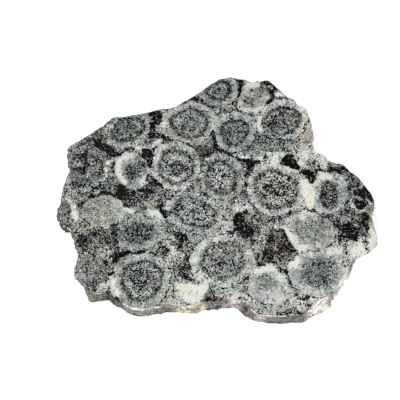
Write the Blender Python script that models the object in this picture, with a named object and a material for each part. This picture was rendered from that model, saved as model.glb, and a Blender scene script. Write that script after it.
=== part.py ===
# A slab of orbicular diorite: a flat polished face, a sawn underside and a broken, weathered
# wall between them. It rests on its underside, centred on the origin, with +Z up.
# Lengths are written in millimetres, and MM turns them into Blender's metres.

import bmesh
import bpy
import numpy as np

MM = 0.001

THICKNESS = 10.0
RIM_BEVEL = 0.45  # worn arris round the polished face
FOOT_BEVEL = 0.40  # worn arris round the underside

COLUMNS = 280  # steps round the wall
WALL_LEVELS = 8  # steps up the wall, between its two arrises
NORMAL_REACH = 3  # columns on each side that settle which way the wall faces
CURVE_STEPS = 16  # steps between two points of the outline

# The polished face seen from above, clockwise from the left shoulder.
RIM_POINTS = [
    (-65.9, 20.9), (-62.0, 23.8), (-57.9, 26.7), (-53.0, 30.3), (-48.6, 34.0),
    (-46.0, 36.1), (-42.5, 36.1), (-38.0, 36.8), (-32.0, 38.0), (-27.0, 39.6),
    (-20.0, 40.6), (-14.0, 43.9), (-9.6, 46.8), (-5.0, 50.4), (0.0, 54.3),
    (4.0, 56.0), (7.2, 56.1), (10.0, 55.0), (12.8, 54.8), (15.2, 53.9),
    (19.0, 54.3), (23.6, 54.2), (27.0, 51.0), (31.0, 47.3), (35.2, 44.4),
    (39.8, 40.4), (41.4, 35.4), (42.8, 28.5), (42.4, 24.0), (43.2, 20.0),
    (48.0, 16.7), (51.0, 13.8), (54.6, 13.4), (59.0, 9.6), (63.0, 5.7),
    (66.3, 0.7), (68.5, -3.8), (68.1, -7.6), (67.1, -11.6), (68.0, -17.1),
    (68.8, -23.6), (65.4, -27.3), (61.6, -30.0), (58.0, -33.0), (55.4, -37.6),
    (52.0, -42.5), (49.0, -46.8), (45.0, -49.2), (41.0, -52.5), (36.2, -55.8),
    (31.0, -56.4), (25.0, -57.0), (20.0, -56.6), (16.5, -56.0), (14.0, -53.8),
    (11.2, -51.0), (4.0, -50.0), (-3.0, -50.9), (-6.5, -51.3), (-9.5, -52.6),
    (-16.0, -52.2), (-21.0, -51.7), (-24.5, -52.8), (-29.5, -53.8), (-35.0, -54.0),
    (-39.6, -51.9), (-44.0, -49.0), (-46.6, -46.7), (-52.0, -46.9), (-54.6, -46.0),
    (-56.6, -43.2), (-57.9, -41.2), (-60.6, -38.4), (-61.1, -36.2), (-60.0, -33.0),
    (-59.8, -29.9), (-61.0, -26.0), (-62.4, -21.3), (-63.6, -19.3), (-66.0, -17.8),
    (-68.3, -15.6), (-69.2, -12.2), (-69.5, -9.0), (-68.4, -5.6), (-67.7, -1.0),
    (-67.1, 3.6), (-66.0, 7.4), (-65.2, 11.6), (-65.8, 16.4),
]

# Where the foot of the wall stands out beyond the rim, or draws in under it: x, y, how far,
# and over what width.
TOES = [
    (12.0, -52.0, 1.9, 4.0),
    (44.0, -50.2, 2.7, 4.6),
    (53.5, -40.5, -0.2, 4.0),
    (30.0, -56.5, 0.5, 6.0),
    (-53.5, -46.5, 0.4, 3.0),
    (-18.0, -52.0, 0.4, 7.0),
    (-34.0, -54.0, -0.4, 6.0),
    (-67.6, -15.6, -0.9, 3.6),
    (-64.5, -18.5, -0.8, 3.0),
    (-59.5, -40.0, -0.7, 3.6),
    (-12.0, -52.4, -0.7, 3.6),
    (0.0, -50.4, 0.6, 3.0),
    (65.0, -28.5, -2.2, 5.5),
    (58.0, 10.5, 0.9, 7.0),
    (-30.0, 38.5, 0.8, 8.0),
]
TOE_RISE = 1.6  # how fast a toe dies away up the wall, as a power

# Hollows broken out of the wall: x, y, height, how deep, and their half width.
SCARS = [
    (-62.0, -24.0, 4.5, 1.3, 4.0),
    (-66.0, 9.0, 6.0, 1.1, 3.4),
    (-36.0, 37.5, 4.0, 1.2, 4.2),
    (-7.0, 49.0, 5.0, 1.1, 3.2),
    (17.0, 53.8, 5.5, 1.3, 3.8),
    (37.5, 42.0, 3.6, 1.2, 3.6),
    (45.0, 18.5, 5.0, 1.0, 3.0),
    (67.8, -11.0, 4.4, 1.1, 3.4),
    (60.0, -31.5, 5.2, 1.2, 3.8),
    (-1.0, -50.6, 4.2, 0.9, 3.6),
    (-41.5, -50.6, 5.0, 1.0, 3.2),
]

# Steps that run round the wall where the rock parted: height as a share of the thickness,
# how far that height wanders, how far the wall stands out below, or draws in, and how many
# long and short waves the wandering has round the slab.
LEDGES = [
    (0.66, 0.10, 0.60, 3, 17),
    (0.32, 0.12, -0.45, 5, 23),
]
LEDGE_SOFTNESS = 0.07  # share of the thickness over which a ledge turns down
LEDGE_FADES = 7  # times round the slab that a ledge weakens

SWELL = 0.35  # how far the middle of the wall bulges
CRAG_DEPTH = 0.85  # reach of the broken surface's ridges and hollows
CRAG_CREST = 0.7  # share of that reach that stands out, and the rest is hollow
CRAG_WAVES = 14
CRAG_LONGEST = 16  # waves round the slab of the broadest crags
CRAG_SHORTEST = 62
CRAG_SLANT = 1.5  # most waves up the wall
CRAG_SEED = 27
RIM_CALM = 0.16  # share of the thickness next to the rim where the crags fade out
FOOT_CALM = 0.20  # and next to the underside

STONE_COLOUR = (0.30, 0.33, 0.32, 1.0)
STONE_ROUGHNESS = 0.38


# Even steps along a centripetal Catmull-Rom curve through a closed ring of points.
def closed_curve(points, count):
    before, start, end, after = (np.roll(points, shift, axis=0) for shift in (1, 0, -1, -2))

    def knot(a, b):
        return np.linalg.norm(b - a, axis=1)[:, None] ** 0.5

    first, middle, last = knot(before, start), knot(start, end), knot(end, after)
    leave = (start - before) / first - (end - before) / (first + middle) + (end - start) / middle
    arrive = (end - start) / middle - (after - start) / (middle + last) + (after - end) / last
    t = (np.arange(CURVE_STEPS) / CURVE_STEPS)[:, None, None]
    curve = (
        (2 * t**3 - 3 * t**2 + 1) * start
        + (t**3 - 2 * t**2 + t) * leave * middle
        + (3 * t**2 - 2 * t**3) * end
        + (t**3 - t**2) * arrive * middle
    )
    ring = curve.transpose(1, 0, 2).reshape(-1, 2)
    ring = np.vstack([ring, ring[:1]])
    walked = np.append(0, np.cumsum(np.linalg.norm(np.diff(ring, axis=0), axis=1)))
    stops = np.arange(count) / count * walked[-1]
    return np.column_stack([np.interp(stops, walked, ring[:, axis]) for axis in (0, 1)])


# The outward direction in the plane at each column of a clockwise ring.
def outward(ring):
    along = np.roll(ring, -NORMAL_REACH, axis=0) - np.roll(ring, NORMAL_REACH, axis=0)
    normal = np.column_stack([-along[:, 1], along[:, 0]])
    return normal / np.linalg.norm(normal, axis=1)[:, None]


def smooth_step(low, high, value):
    t = np.clip((value - low) / (high - low), 0, 1)
    return t * t * (3 - 2 * t)


# Waves with random directions whose sum is folded about zero, so that round hollows meet
# in sharp crests, as on a broken face. Turn runs once round the wall, level up it.
def crags(turn, level):
    draw = np.random.default_rng(CRAG_SEED)
    total = np.zeros(np.broadcast(turn, level).shape)
    weight = 0
    for _ in range(CRAG_WAVES):
        around = draw.integers(CRAG_LONGEST, CRAG_SHORTEST)
        up = draw.uniform(-CRAG_SLANT, CRAG_SLANT)
        phase = draw.uniform(0, 1)
        size = CRAG_LONGEST / around
        total += size * np.sin(2 * np.pi * (around * turn + up * level + phase))
        weight += size**2 / 2
    return CRAG_CREST - np.abs(total) / weight**0.5


# How far each ledge carries the wall outwards below its own wandering height.
def ledge_steps(turn, level):
    angle = 2 * np.pi * turn
    total = 0
    for height, wander, reach, long_waves, short_waves in LEDGES:
        line = height + wander * np.sin(long_waves * angle + short_waves)
        line = line + 0.4 * wander * np.sin(short_waves * angle)
        strength = 0.6 + 0.4 * np.sin(LEDGE_FADES * angle + long_waves)
        fall = smooth_step(line + LEDGE_SOFTNESS, line - LEDGE_SOFTNESS, level)
        total = total + reach * strength * fall
    return total


# How far the wall stands out from the rim at each column, for one height.
def wall_offset(rim, turn, height):
    level = height / THICKNESS
    calm = smooth_step(1, 1 - RIM_CALM, level) * smooth_step(-0.5 * FOOT_CALM, FOOT_CALM, level)
    offset = SWELL * np.sin(np.pi * level) + ledge_steps(turn, level)
    offset = offset + CRAG_DEPTH * crags(turn, level) * calm
    for x, y, reach, width in TOES:
        far = np.hypot(rim[:, 0] - x, rim[:, 1] - y) / width
        offset = offset + reach * np.exp(-(far**2)) * (1 - level) ** TOE_RISE
    for x, y, middle, depth, half in SCARS:
        far = np.hypot(np.hypot(rim[:, 0] - x, rim[:, 1] - y), 1.2 * (height - middle)) / half
        offset = offset - depth * np.exp(-(far**4))
    return offset


# The slab's rings from the underside up to the polished face, centred over the origin.
def slab_rings():
    rim = closed_curve(np.array(RIM_POINTS), COLUMNS)
    facing = outward(rim)
    turn = np.arange(COLUMNS) / COLUMNS
    heights = np.linspace(FOOT_BEVEL, THICKNESS - RIM_BEVEL, WALL_LEVELS + 1)
    rings = []
    for height in heights:
        flat = rim + facing * wall_offset(rim, turn, height)[:, None]
        rings.append(np.column_stack([flat, np.full(COLUMNS, height)]))
    foot = rings[0][:, :2] - facing * FOOT_BEVEL
    face = rim - facing * RIM_BEVEL
    rings.insert(0, np.column_stack([foot, np.zeros(COLUMNS)]))
    rings.append(np.column_stack([face, np.full(COLUMNS, THICKNESS)]))
    rings = np.array(rings)
    middle = (rings.min(axis=(0, 1)) + rings.max(axis=(0, 1))) / 2
    middle[2] = 0
    return (rings - middle) * MM


# One face round the underside, extruded upwards ring by ring, whose last copy is the top.
def slab_mesh():
    rings = slab_rings()
    work = bmesh.new()
    column = work.verts.layers.int.new("column")
    for number, place in enumerate(rings[0]):
        vert = work.verts.new(place)
        vert[column] = number
    cap = work.faces.new(work.verts)
    inner = []
    for ring in rings[1:]:
        grown = bmesh.ops.extrude_face_region(work, geom=[cap])["geom"]
        cap = next(item for item in grown if isinstance(item, bmesh.types.BMFace))
        inner.append(cap)
        for vert in cap.verts:
            vert.co = ring[vert[column]]
    bmesh.ops.delete(work, geom=inner[:-1], context="FACES_ONLY")
    bmesh.ops.recalc_face_normals(work, faces=work.faces)
    bmesh.ops.triangulate(work, faces=[face for face in work.faces if len(face.verts) > 4])
    mesh = bpy.data.meshes.new("slab")
    work.to_mesh(mesh)
    work.free()
    mesh.shade_smooth()
    mesh.set_sharp_from_angle(angle=np.radians(32))
    return mesh


def stone_material():
    material = bpy.data.materials.new("diorite")
    material.use_nodes = True
    shader = material.node_tree.nodes["Principled BSDF"]
    shader.inputs["Base Color"].default_value = STONE_COLOUR
    shader.inputs["Roughness"].default_value = STONE_ROUGHNESS
    shader.inputs["Metallic"].default_value = 0.0
    return material


def build():
    for item in list(bpy.data.objects):
        bpy.data.objects.remove(item)
    slab = bpy.data.objects.new("slab", slab_mesh())
    slab.data.materials.append(stone_material())
    bpy.context.scene.collection.objects.link(slab)


build()
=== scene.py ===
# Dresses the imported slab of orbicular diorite: one dense stone surface stands for the plain
# solid, with a polished face, a broken edge and a sawn back, in soft studio light.
# Lengths are in millimetres until they reach Blender, and mm turns them into metres.

import bpy
import numpy as np
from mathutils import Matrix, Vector


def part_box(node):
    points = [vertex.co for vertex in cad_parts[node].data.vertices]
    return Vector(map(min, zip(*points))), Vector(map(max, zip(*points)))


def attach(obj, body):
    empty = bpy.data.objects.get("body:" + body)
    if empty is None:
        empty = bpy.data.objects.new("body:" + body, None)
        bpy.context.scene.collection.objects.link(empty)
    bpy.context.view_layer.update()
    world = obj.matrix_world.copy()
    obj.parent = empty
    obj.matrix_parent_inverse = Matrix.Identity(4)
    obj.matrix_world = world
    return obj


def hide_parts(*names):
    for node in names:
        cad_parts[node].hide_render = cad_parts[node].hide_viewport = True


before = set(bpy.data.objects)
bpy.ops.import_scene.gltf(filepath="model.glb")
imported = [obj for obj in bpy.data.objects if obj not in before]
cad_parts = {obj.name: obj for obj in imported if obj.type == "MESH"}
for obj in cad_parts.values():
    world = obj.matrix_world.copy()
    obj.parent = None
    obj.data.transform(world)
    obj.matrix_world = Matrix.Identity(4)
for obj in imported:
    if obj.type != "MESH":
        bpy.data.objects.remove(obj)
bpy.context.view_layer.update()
mm = 0.001

cameraView = {
    "aim": (-7.03, 0.26),  # the floor point at the picture's centre
    "distance": 536.0,
    "elevation": 68.7,  # degrees above the horizon
    "lens": 108.0,
    "sensor": 36.0,
}


# The camera stands back from its aim along a line that rises by the elevation.
def makeCamera(look):
    rise = np.radians(look["elevation"])
    back = Vector((0, -np.cos(rise), np.sin(rise)))
    data = bpy.data.cameras.new("studioCamera")
    data.lens = look["lens"]
    data.sensor_width = look["sensor"]
    data.clip_start = 0.01
    data.clip_end = 20
    camera = bpy.data.objects.new("studioCamera", data)
    camera.location = (Vector((*look["aim"], 0)) + back * look["distance"]) * mm
    camera.rotation_mode = "QUATERNION"
    camera.rotation_quaternion = (-back).to_track_quat("-Z", "Y")
    bpy.context.scene.collection.objects.link(camera)
    bpy.context.scene.camera = camera


makeCamera(cameraView)
print("camera placed")

studio = {
    "floorHalf": 3000.0,
    "floorDrop": 0.05,  # keeps the floor from touching the underside
    "floorColour": (0.90, 0.90, 0.90),
    "floorGlow": 0.30,
    "skyLow": (1.0, 1.0, 1.0),
    "skyStrength": 0.16,
    "exposure": 0.0,
    "lights": [  # name, place, width, watts
        ("keySoftbox", (-460, -420, 760), 620, 8.2),
        ("fillSoftbox", (560, -120, 620), 560, 4.6),
        ("backSoftbox", (-420, 560, 460), 520, 2.6),
    ],
}


def makeStudio(look):
    half, drop = look["floorHalf"] * mm, look["floorDrop"] * mm
    mesh = bpy.data.meshes.new("studioFloor")
    corners = [(-half, -half, -drop), (half, -half, -drop), (half, half, -drop), (-half, half, -drop)]
    mesh.from_pydata(corners, [], [(0, 1, 2, 3)])
    floor = bpy.data.objects.new("studioFloor", mesh)
    bpy.context.scene.collection.objects.link(floor)
    paint = bpy.data.materials.new("studioFloorPaint")
    paint.use_nodes = True
    shader = paint.node_tree.nodes["Principled BSDF"]
    shader.inputs["Base Color"].default_value = (*look["floorColour"], 1)
    shader.inputs["Roughness"].default_value = 0.9
    shader.inputs["Specular IOR Level"].default_value = 0.0
    shader.inputs["Emission Color"].default_value = (1, 1, 1, 1)
    shader.inputs["Emission Strength"].default_value = look["floorGlow"]
    mesh.materials.append(paint)
    for name, place, width, watts in look["lights"]:
        data = bpy.data.lights.new(name, "AREA")
        data.shape = "DISK"
        data.size = width * mm
        data.energy = watts
        lamp = bpy.data.objects.new(name, data)
        lamp.location = Vector(place) * mm
        lamp.rotation_mode = "QUATERNION"
        lamp.rotation_quaternion = (-lamp.location).to_track_quat("-Z", "Y")
        bpy.context.scene.collection.objects.link(lamp)
    world = bpy.data.worlds.new("studioAir")
    world.use_nodes = True
    sky = world.node_tree.nodes["Background"]
    sky.inputs["Color"].default_value = (*look["skyLow"], 1)
    sky.inputs["Strength"].default_value = look["skyStrength"]
    bpy.context.scene.world = world
    bpy.context.scene.view_settings.view_transform = "Standard"
    bpy.context.scene.view_settings.exposure = look["exposure"]


makeStudio(studio)
print("floor and lights placed")

slabForm = {
    "thickness": 10.0,
    "columns": 720,  # steps round the slab
    "faceRings": 76,
    "wallRows": 30,
    "arrisRows": 3,
    "backRings": 14,
    "normalReach": 8,  # columns on each side that settle which way the wall faces
    "curveSteps": 24,
    "footBevel": 0.40,
    "heelShare": 0.3,  # the heel's row lies this far round the foot's bevel
    "arrisWidth": (0.25, 0.60),  # least and most worn
    "arrisDrift": (6, 21),  # cell and seed of the drift between them
    "chips": 64,
    "chipSeed": 5,
    "chipDepth": (0.15, 0.75),
    "chipHalf": (0.5, 1.9),
    "facetCells": [(2.6, 0.34, 11), (1.15, 0.17, 12)],  # crystal faces: size, reach, seed
    "grainDrift": (0.55, 13),  # fine grain: cell, seed
    "grainReach": 0.06,
    "rimCalm": 1.6,  # height over which the broken faces fade towards the arris
    "rimCalmLeast": 0.30,
    "footCalm": 3.0,  # and towards the foot
    "footCalmLeast": 0.35,
    "settle": 0.92,  # inner rings forget the chipped outline by this share of the way out
    "settled": 0.985,  # and follow the plain outline at this scale
    "creaseAngle": 38,
}

# The polished face seen from above, clockwise from the left shoulder.
rimPoints = [
    (-65.9, 20.9), (-62, 23.8), (-57.9, 26.7), (-53, 30.3), (-48.6, 34), (-46, 36.1), (-42.5, 36.1),
    (-38, 36.8), (-32, 38), (-27, 39.6), (-20, 40.6), (-14, 43.9), (-9.6, 46.8), (-5, 50.4), (0, 54.3),
    (4, 56), (7.2, 56.1), (10, 55), (12.8, 54.8), (15.2, 53.9), (19, 54.3), (23.6, 54.2), (27, 51),
    (31, 47.3), (35.2, 44.4), (39.8, 40.4), (41.4, 35.4), (42.8, 28.5), (42.4, 24), (43.2, 20),
    (48, 16.7), (51, 13.8), (54.6, 13.4), (59, 9.6), (63, 5.7), (66.3, 0.7), (68.5, -3.8), (68.1, -7.6),
    (67.1, -11.6), (68, -17.1), (68.8, -23.6), (65.4, -27.3), (61.6, -30), (58, -33), (55.4, -37.6),
    (52, -42.5), (49, -46.8), (45, -49.2), (41, -52.5), (36.2, -55.8), (31, -56.4), (25, -57),
    (20, -56.6), (16.5, -56), (14, -53.8), (11.2, -51), (4, -50), (-3, -50.9), (-6.5, -51.3),
    (-9.5, -52.6), (-16, -52.2), (-21, -51.7), (-24.5, -52.8), (-29.5, -53.8), (-35, -54),
    (-39.6, -51.9), (-44, -49), (-46.6, -46.7), (-52, -46.9), (-54.6, -46), (-56.6, -43.2),
    (-57.9, -41.2), (-60.6, -38.4), (-61.1, -36.2), (-60, -33), (-59.8, -29.9), (-61, -26),
    (-62.4, -21.3), (-63.6, -19.3), (-66, -17.8), (-68.3, -15.6), (-69.2, -12.2), (-69.5, -9),
    (-68.4, -5.6), (-67.7, -1), (-67.1, 3.6), (-66, 7.4), (-65.2, 11.6), (-65.8, 16.4),
]

# Where the foot stands out beyond the rim or draws in under it: x, y, how far, what width.
toes = [
    (12, -52, 1.8, 4), (45, -50.2, 3, 4), (53, -41, 0.3, 3), (30, -56.5, 0.5, 6),
    (-53.5, -46.5, 0.4, 3), (-18, -52, 0.4, 7), (-34, -54, -0.4, 6), (-67.6, -15.6, -2.2, 3.4),
    (-65, -18.6, -5.2, 3.2), (-59.5, -40, -1.3, 3), (-56.8, -43.6, -1.2, 2.4), (50, -46.4, -1, 2.2),
    (36, -56, 0.7, 3), (39.5, -54, 0.6, 2.6), (46.5, -48.6, 0.8, 2.6), (-12, -52.4, -0.7, 3.6),
    (0, -50.4, 0.6, 3), (65, -28.5, -3.3, 5.5), (-62.4, -21.6, -1, 2.4), (-60.3, -32.5, -1.2, 3.2),
    (-54.4, -46.2, 1, 1.8), (58, 10.5, 0.9, 7), (-30, 38.5, 0.8, 8),
]
toeRise = 1.6  # how steeply they grow towards the foot

# Hollows broken out of the wall: x, y, height, how deep, half width.
scars = [
    (-62, -24, 4.5, 1.3, 4), (-66, 9, 6, 1.1, 3.4), (-36, 37.5, 4, 1.2, 4.2), (-7, 49, 5, 1.1, 3.2),
    (17, 53.8, 5.5, 1.3, 3.8), (37.5, 42, 3.6, 1.2, 3.6), (45, 18.5, 5, 1, 3),
    (67.8, -11, 4.4, 1.1, 3.4), (60, -31.5, 5.2, 1.2, 3.8), (-1, -50.6, 4.2, 0.9, 3.6),
    (-41.5, -50.6, 5, 1, 3.2),
]
scarSquat = 1.2  # they are this much wider than tall

# Steps where the rock parted: height, wander, reach below, long waves, short waves.
ledges = [(0.66, 0.10, 0.32, 3, 17), (0.32, 0.12, -0.17, 5, 23)]
ledgeForm = {
    "softness": 0.07,
    "fades": 7,  # how often round the slab a ledge grows weaker, and how weak
    "least": 0.2,
    "ripple": 0.4,  # the short waves' share of the wander
}

cragForm = {
    "swell": 0.35,  # how far the wall bulges at half its height
    "depth": 0.85,
    "crest": 0.7,
    "waves": 14,
    "longest": 16,  # fewest and most waves round the slab
    "shortest": 62,
    "slant": 1.5,
    "seed": 27,
    "rimCalm": 0.16,  # crags fade over this share of the height at the rim and the foot
    "footCalm": 0.20,
}


def smoothStep(low, high, value):
    t = np.clip((value - low) / (high - low), 0, 1)
    return t * t * (3 - 2 * t)


# Even steps along a centripetal Catmull-Rom curve through a closed ring of points.
def closedCurve(points, count):
    before, start, end, after = (np.roll(points, shift, axis=0) for shift in (1, 0, -1, -2))

    def knot(a, b):
        return np.linalg.norm(b - a, axis=1)[:, None] ** 0.5

    first, middle, last = knot(before, start), knot(start, end), knot(end, after)
    leave = (start - before) / first - (end - before) / (first + middle) + (end - start) / middle
    arrive = (end - start) / middle - (after - start) / (middle + last) + (after - end) / last
    t = (np.arange(slabForm["curveSteps"]) / slabForm["curveSteps"])[:, None, None]
    curve = (
        (2 * t**3 - 3 * t**2 + 1) * start
        + (t**3 - 2 * t**2 + t) * leave * middle
        + (3 * t**2 - 2 * t**3) * end
        + (t**3 - t**2) * arrive * middle
    )
    ring = curve.transpose(1, 0, 2).reshape(-1, 2)
    ring = np.vstack([ring, ring[:1]])
    walked = np.append(0, np.cumsum(np.linalg.norm(np.diff(ring, axis=0), axis=1)))
    stops = np.arange(count) / count * walked[-1]
    return np.column_stack([np.interp(stops, walked, ring[:, axis]) for axis in (0, 1)])


# The outward direction in the plane at each column of a clockwise ring.
def outward(ring, reach):
    along = np.roll(ring, -reach, axis=0) - np.roll(ring, reach, axis=0)
    normal = np.column_stack([-along[:, 1], along[:, 0]])
    return normal / np.linalg.norm(normal, axis=1)[:, None]


# Waves with random directions, summed and folded about zero, so that round hollows meet in
# sharp crests, as on a broken face. Turn runs once round the slab and level up its wall.
def crags(turn, level):
    draw = np.random.default_rng(cragForm["seed"])
    total = np.zeros(np.broadcast(turn, level).shape)
    weight = 0
    for _ in range(cragForm["waves"]):
        around = draw.integers(cragForm["longest"], cragForm["shortest"])
        up = draw.uniform(-cragForm["slant"], cragForm["slant"])
        phase = draw.uniform(0, 1)
        size = cragForm["longest"] / around
        total += size * np.sin(2 * np.pi * (around * turn + up * level + phase))
        weight += size**2 / 2
    return cragForm["crest"] - np.abs(total) / weight**0.5


# How far each ledge carries the wall outwards below its own wandering height.
def ledgeSteps(turn, level):
    angle = 2 * np.pi * turn
    soft, middle = ledgeForm["softness"], (1 + ledgeForm["least"]) / 2
    total = 0
    for height, wander, reach, longWaves, shortWaves in ledges:
        line = height + wander * np.sin(longWaves * angle + shortWaves)
        line = line + ledgeForm["ripple"] * wander * np.sin(shortWaves * angle)
        strength = middle + (1 - middle) * np.sin(ledgeForm["fades"] * angle + longWaves)
        fall = smoothStep(line + soft, line - soft, level)
        total = total + reach * strength * fall
    return total


# How far the wall stands out from the rim: swell, ledges, crags, toes and scars added up.
def wallOffset(rim, turn, height):
    level = height / slabForm["thickness"]
    calm = smoothStep(1, 1 - cragForm["rimCalm"], level)
    calm = calm * smoothStep(-0.5 * cragForm["footCalm"], cragForm["footCalm"], level)
    offset = cragForm["swell"] * np.sin(np.pi * level) + ledgeSteps(turn, level)
    offset = offset + cragForm["depth"] * crags(turn, level) * calm
    for x, y, reach, width in toes:
        far = np.hypot(rim[:, 0] - x, rim[:, 1] - y) / width
        offset = offset + reach * np.exp(-(far**2)) * (1 - level) ** toeRise
    for x, y, middle, depth, half in scars:
        far = np.hypot(np.hypot(rim[:, 0] - x, rim[:, 1] - y), scarSquat * (height - middle)) / half
        offset = offset - depth * np.exp(-(far**4))
    return offset


# A colour as seen, 0 to 255, as the share of light it stands for.
def linear(colour):
    share = np.array(colour, float) / 255
    return np.where(share <= 0.04045, share / 12.92, ((share + 0.055) / 1.055) ** 2.4)


latticeSize = 48
corners = np.array([(i, j, k) for i in (0, 1) for j in (0, 1) for k in (0, 1)])
around27 = np.array([(i, j, k) for i in (-1, 0, 1) for j in (-1, 0, 1) for k in (-1, 0, 1)])


# Random values on a cubic lattice, eased between the eight corners round each place by the
# curve 3t²-2t³, so that the result drifts smoothly from -1 to 1 over about one cell.
def drift(places, cell, seed):
    lattice = np.random.default_rng(seed).uniform(-1, 1, (latticeSize,) * 3)
    spot = places / cell
    whole = np.floor(spot).astype(int)
    t = spot - whole
    t = t * t * (3 - 2 * t)
    total = 0
    for corner in corners:
        share = np.prod(np.where(corner, t, 1 - t), axis=-1)
        at = (whole + corner) % latticeSize
        total = total + share * lattice[at[..., 0], at[..., 1], at[..., 2]]
    return total


# Crystal faces: each place belongs to the nearest of many scattered seeds, and lies on the
# tilted plane through that seed, so neighbouring faces meet in creases.
def facets(places, cell, seed):
    draw = np.random.default_rng(seed)
    scatter = draw.uniform(0.1, 0.9, (latticeSize, latticeSize, latticeSize, 3))
    plane = draw.uniform(-1, 1, (latticeSize, latticeSize, latticeSize, 4))
    spot = places / cell
    whole = np.floor(spot).astype(int)
    nearest = np.full(places.shape[:-1], np.inf)
    height = np.zeros(places.shape[:-1])
    for step in around27:
        at = (whole + step) % latticeSize
        apart = spot - (whole + step + scatter[at[..., 0], at[..., 1], at[..., 2]])
        far = (apart**2).sum(axis=-1)
        tilt = plane[at[..., 0], at[..., 1], at[..., 2]]
        lies = 0.5 * tilt[..., 3] + (tilt[..., :3] * apart).sum(axis=-1)
        height = np.where(far < nearest, lies, height)
        nearest = np.minimum(far, nearest)
    return height


# How wide the worn arris is at each column: a slow drift between least and most, and chips,
# each a short bite whose depth falls off as a steep bell.
def arrisWidths(rim):
    least, most = slabForm["arrisWidth"]
    flat = np.column_stack([rim, np.zeros(len(rim))])
    width = least + (most - least) * (0.5 + 0.5 * drift(flat, *slabForm["arrisDrift"]))
    draw = np.random.default_rng(slabForm["chipSeed"])
    spots = rim[draw.integers(0, len(rim), slabForm["chips"])]
    depths = draw.uniform(*slabForm["chipDepth"], slabForm["chips"])
    halves = draw.uniform(*slabForm["chipHalf"], slabForm["chips"])
    far = np.linalg.norm(rim[:, None] - spots, axis=2) / halves
    return width + (depths * np.exp(-(far**4))).max(axis=1)


# The whole surface as one grid of places: rows from the middle of the underside out to the
# foot, up the wall, over the arris and in to the middle of the face, columns round the slab.
def slabGrid():
    columns, thick = slabForm["columns"], slabForm["thickness"]
    rim = closedCurve(np.array(rimPoints), columns)
    facing = outward(rim, slabForm["normalReach"])
    turn = np.arange(columns) / columns
    width = arrisWidths(rim)

    def ring(offset, height):
        flat = rim + facing * offset[..., None]
        return np.concatenate([flat, np.broadcast_to(height, offset.shape)[..., None]], axis=-1)

    share = np.linspace(0, 1, slabForm["wallRows"])[:, None]
    height = slabForm["footBevel"] + share * (thick - width - slabForm["footBevel"])
    offset = wallOffset(rim, turn, height)
    wall = ring(offset, height)
    calm = smoothStep(0, slabForm["rimCalm"], thick - width - height)
    calm = slabForm["rimCalmLeast"] + (1 - slabForm["rimCalmLeast"]) * calm
    atFoot = smoothStep(0, slabForm["footCalm"], height)
    calm = calm * (slabForm["footCalmLeast"] + (1 - slabForm["footCalmLeast"]) * atFoot)
    rough = slabForm["grainReach"] * drift(wall, *slabForm["grainDrift"])
    for cell, reach, seed in slabForm["facetCells"]:
        rough = rough + reach * facets(wall, cell, seed)
    offset = offset + rough * calm
    wall = ring(offset, height)

    bend = (np.arange(1, slabForm["arrisRows"] + 1) / slabForm["arrisRows"])[:, None] * np.pi / 2
    arris = ring(-width + (offset[-1] + width) * np.cos(bend), thick - width + width * np.sin(bend))
    foot = ring(offset[:1] - slabForm["footBevel"], np.zeros(1))
    lift = slabForm["heelShare"] * slabForm["footBevel"]
    heel = ring(offset[:1] - lift, np.full(1, lift))

    def inwards(edge, steps):
        still = closedCurve(np.array(rimPoints), columns) * slabForm["settled"]
        still = np.column_stack([still, edge[:, 2]])
        shrink = (1 - np.arange(1, steps) / steps)[:, None, None]
        kept = smoothStep(slabForm["settle"], 1, shrink)
        rings = still + (edge - still) * kept
        rings[..., :2] *= shrink
        return rings

    back = inwards(foot[0], slabForm["backRings"])[::-1]
    face = inwards(arris[-1], slabForm["faceRings"])
    rows = [back, foot, heel, wall, arris, face]
    starts = np.cumsum([0] + [len(part) for part in rows])
    marks = {"foot": starts[1], "face": starts[5] - 1}
    return np.concatenate(rows), marks


grid, rowMarks = slabGrid()
poles = np.array([[0, 0, 0], [0, 0, slabForm["thickness"]]], float)
places = np.vstack([grid.reshape(-1, 3), poles])
print("slab surface worked out:", len(places), "points")

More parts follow.
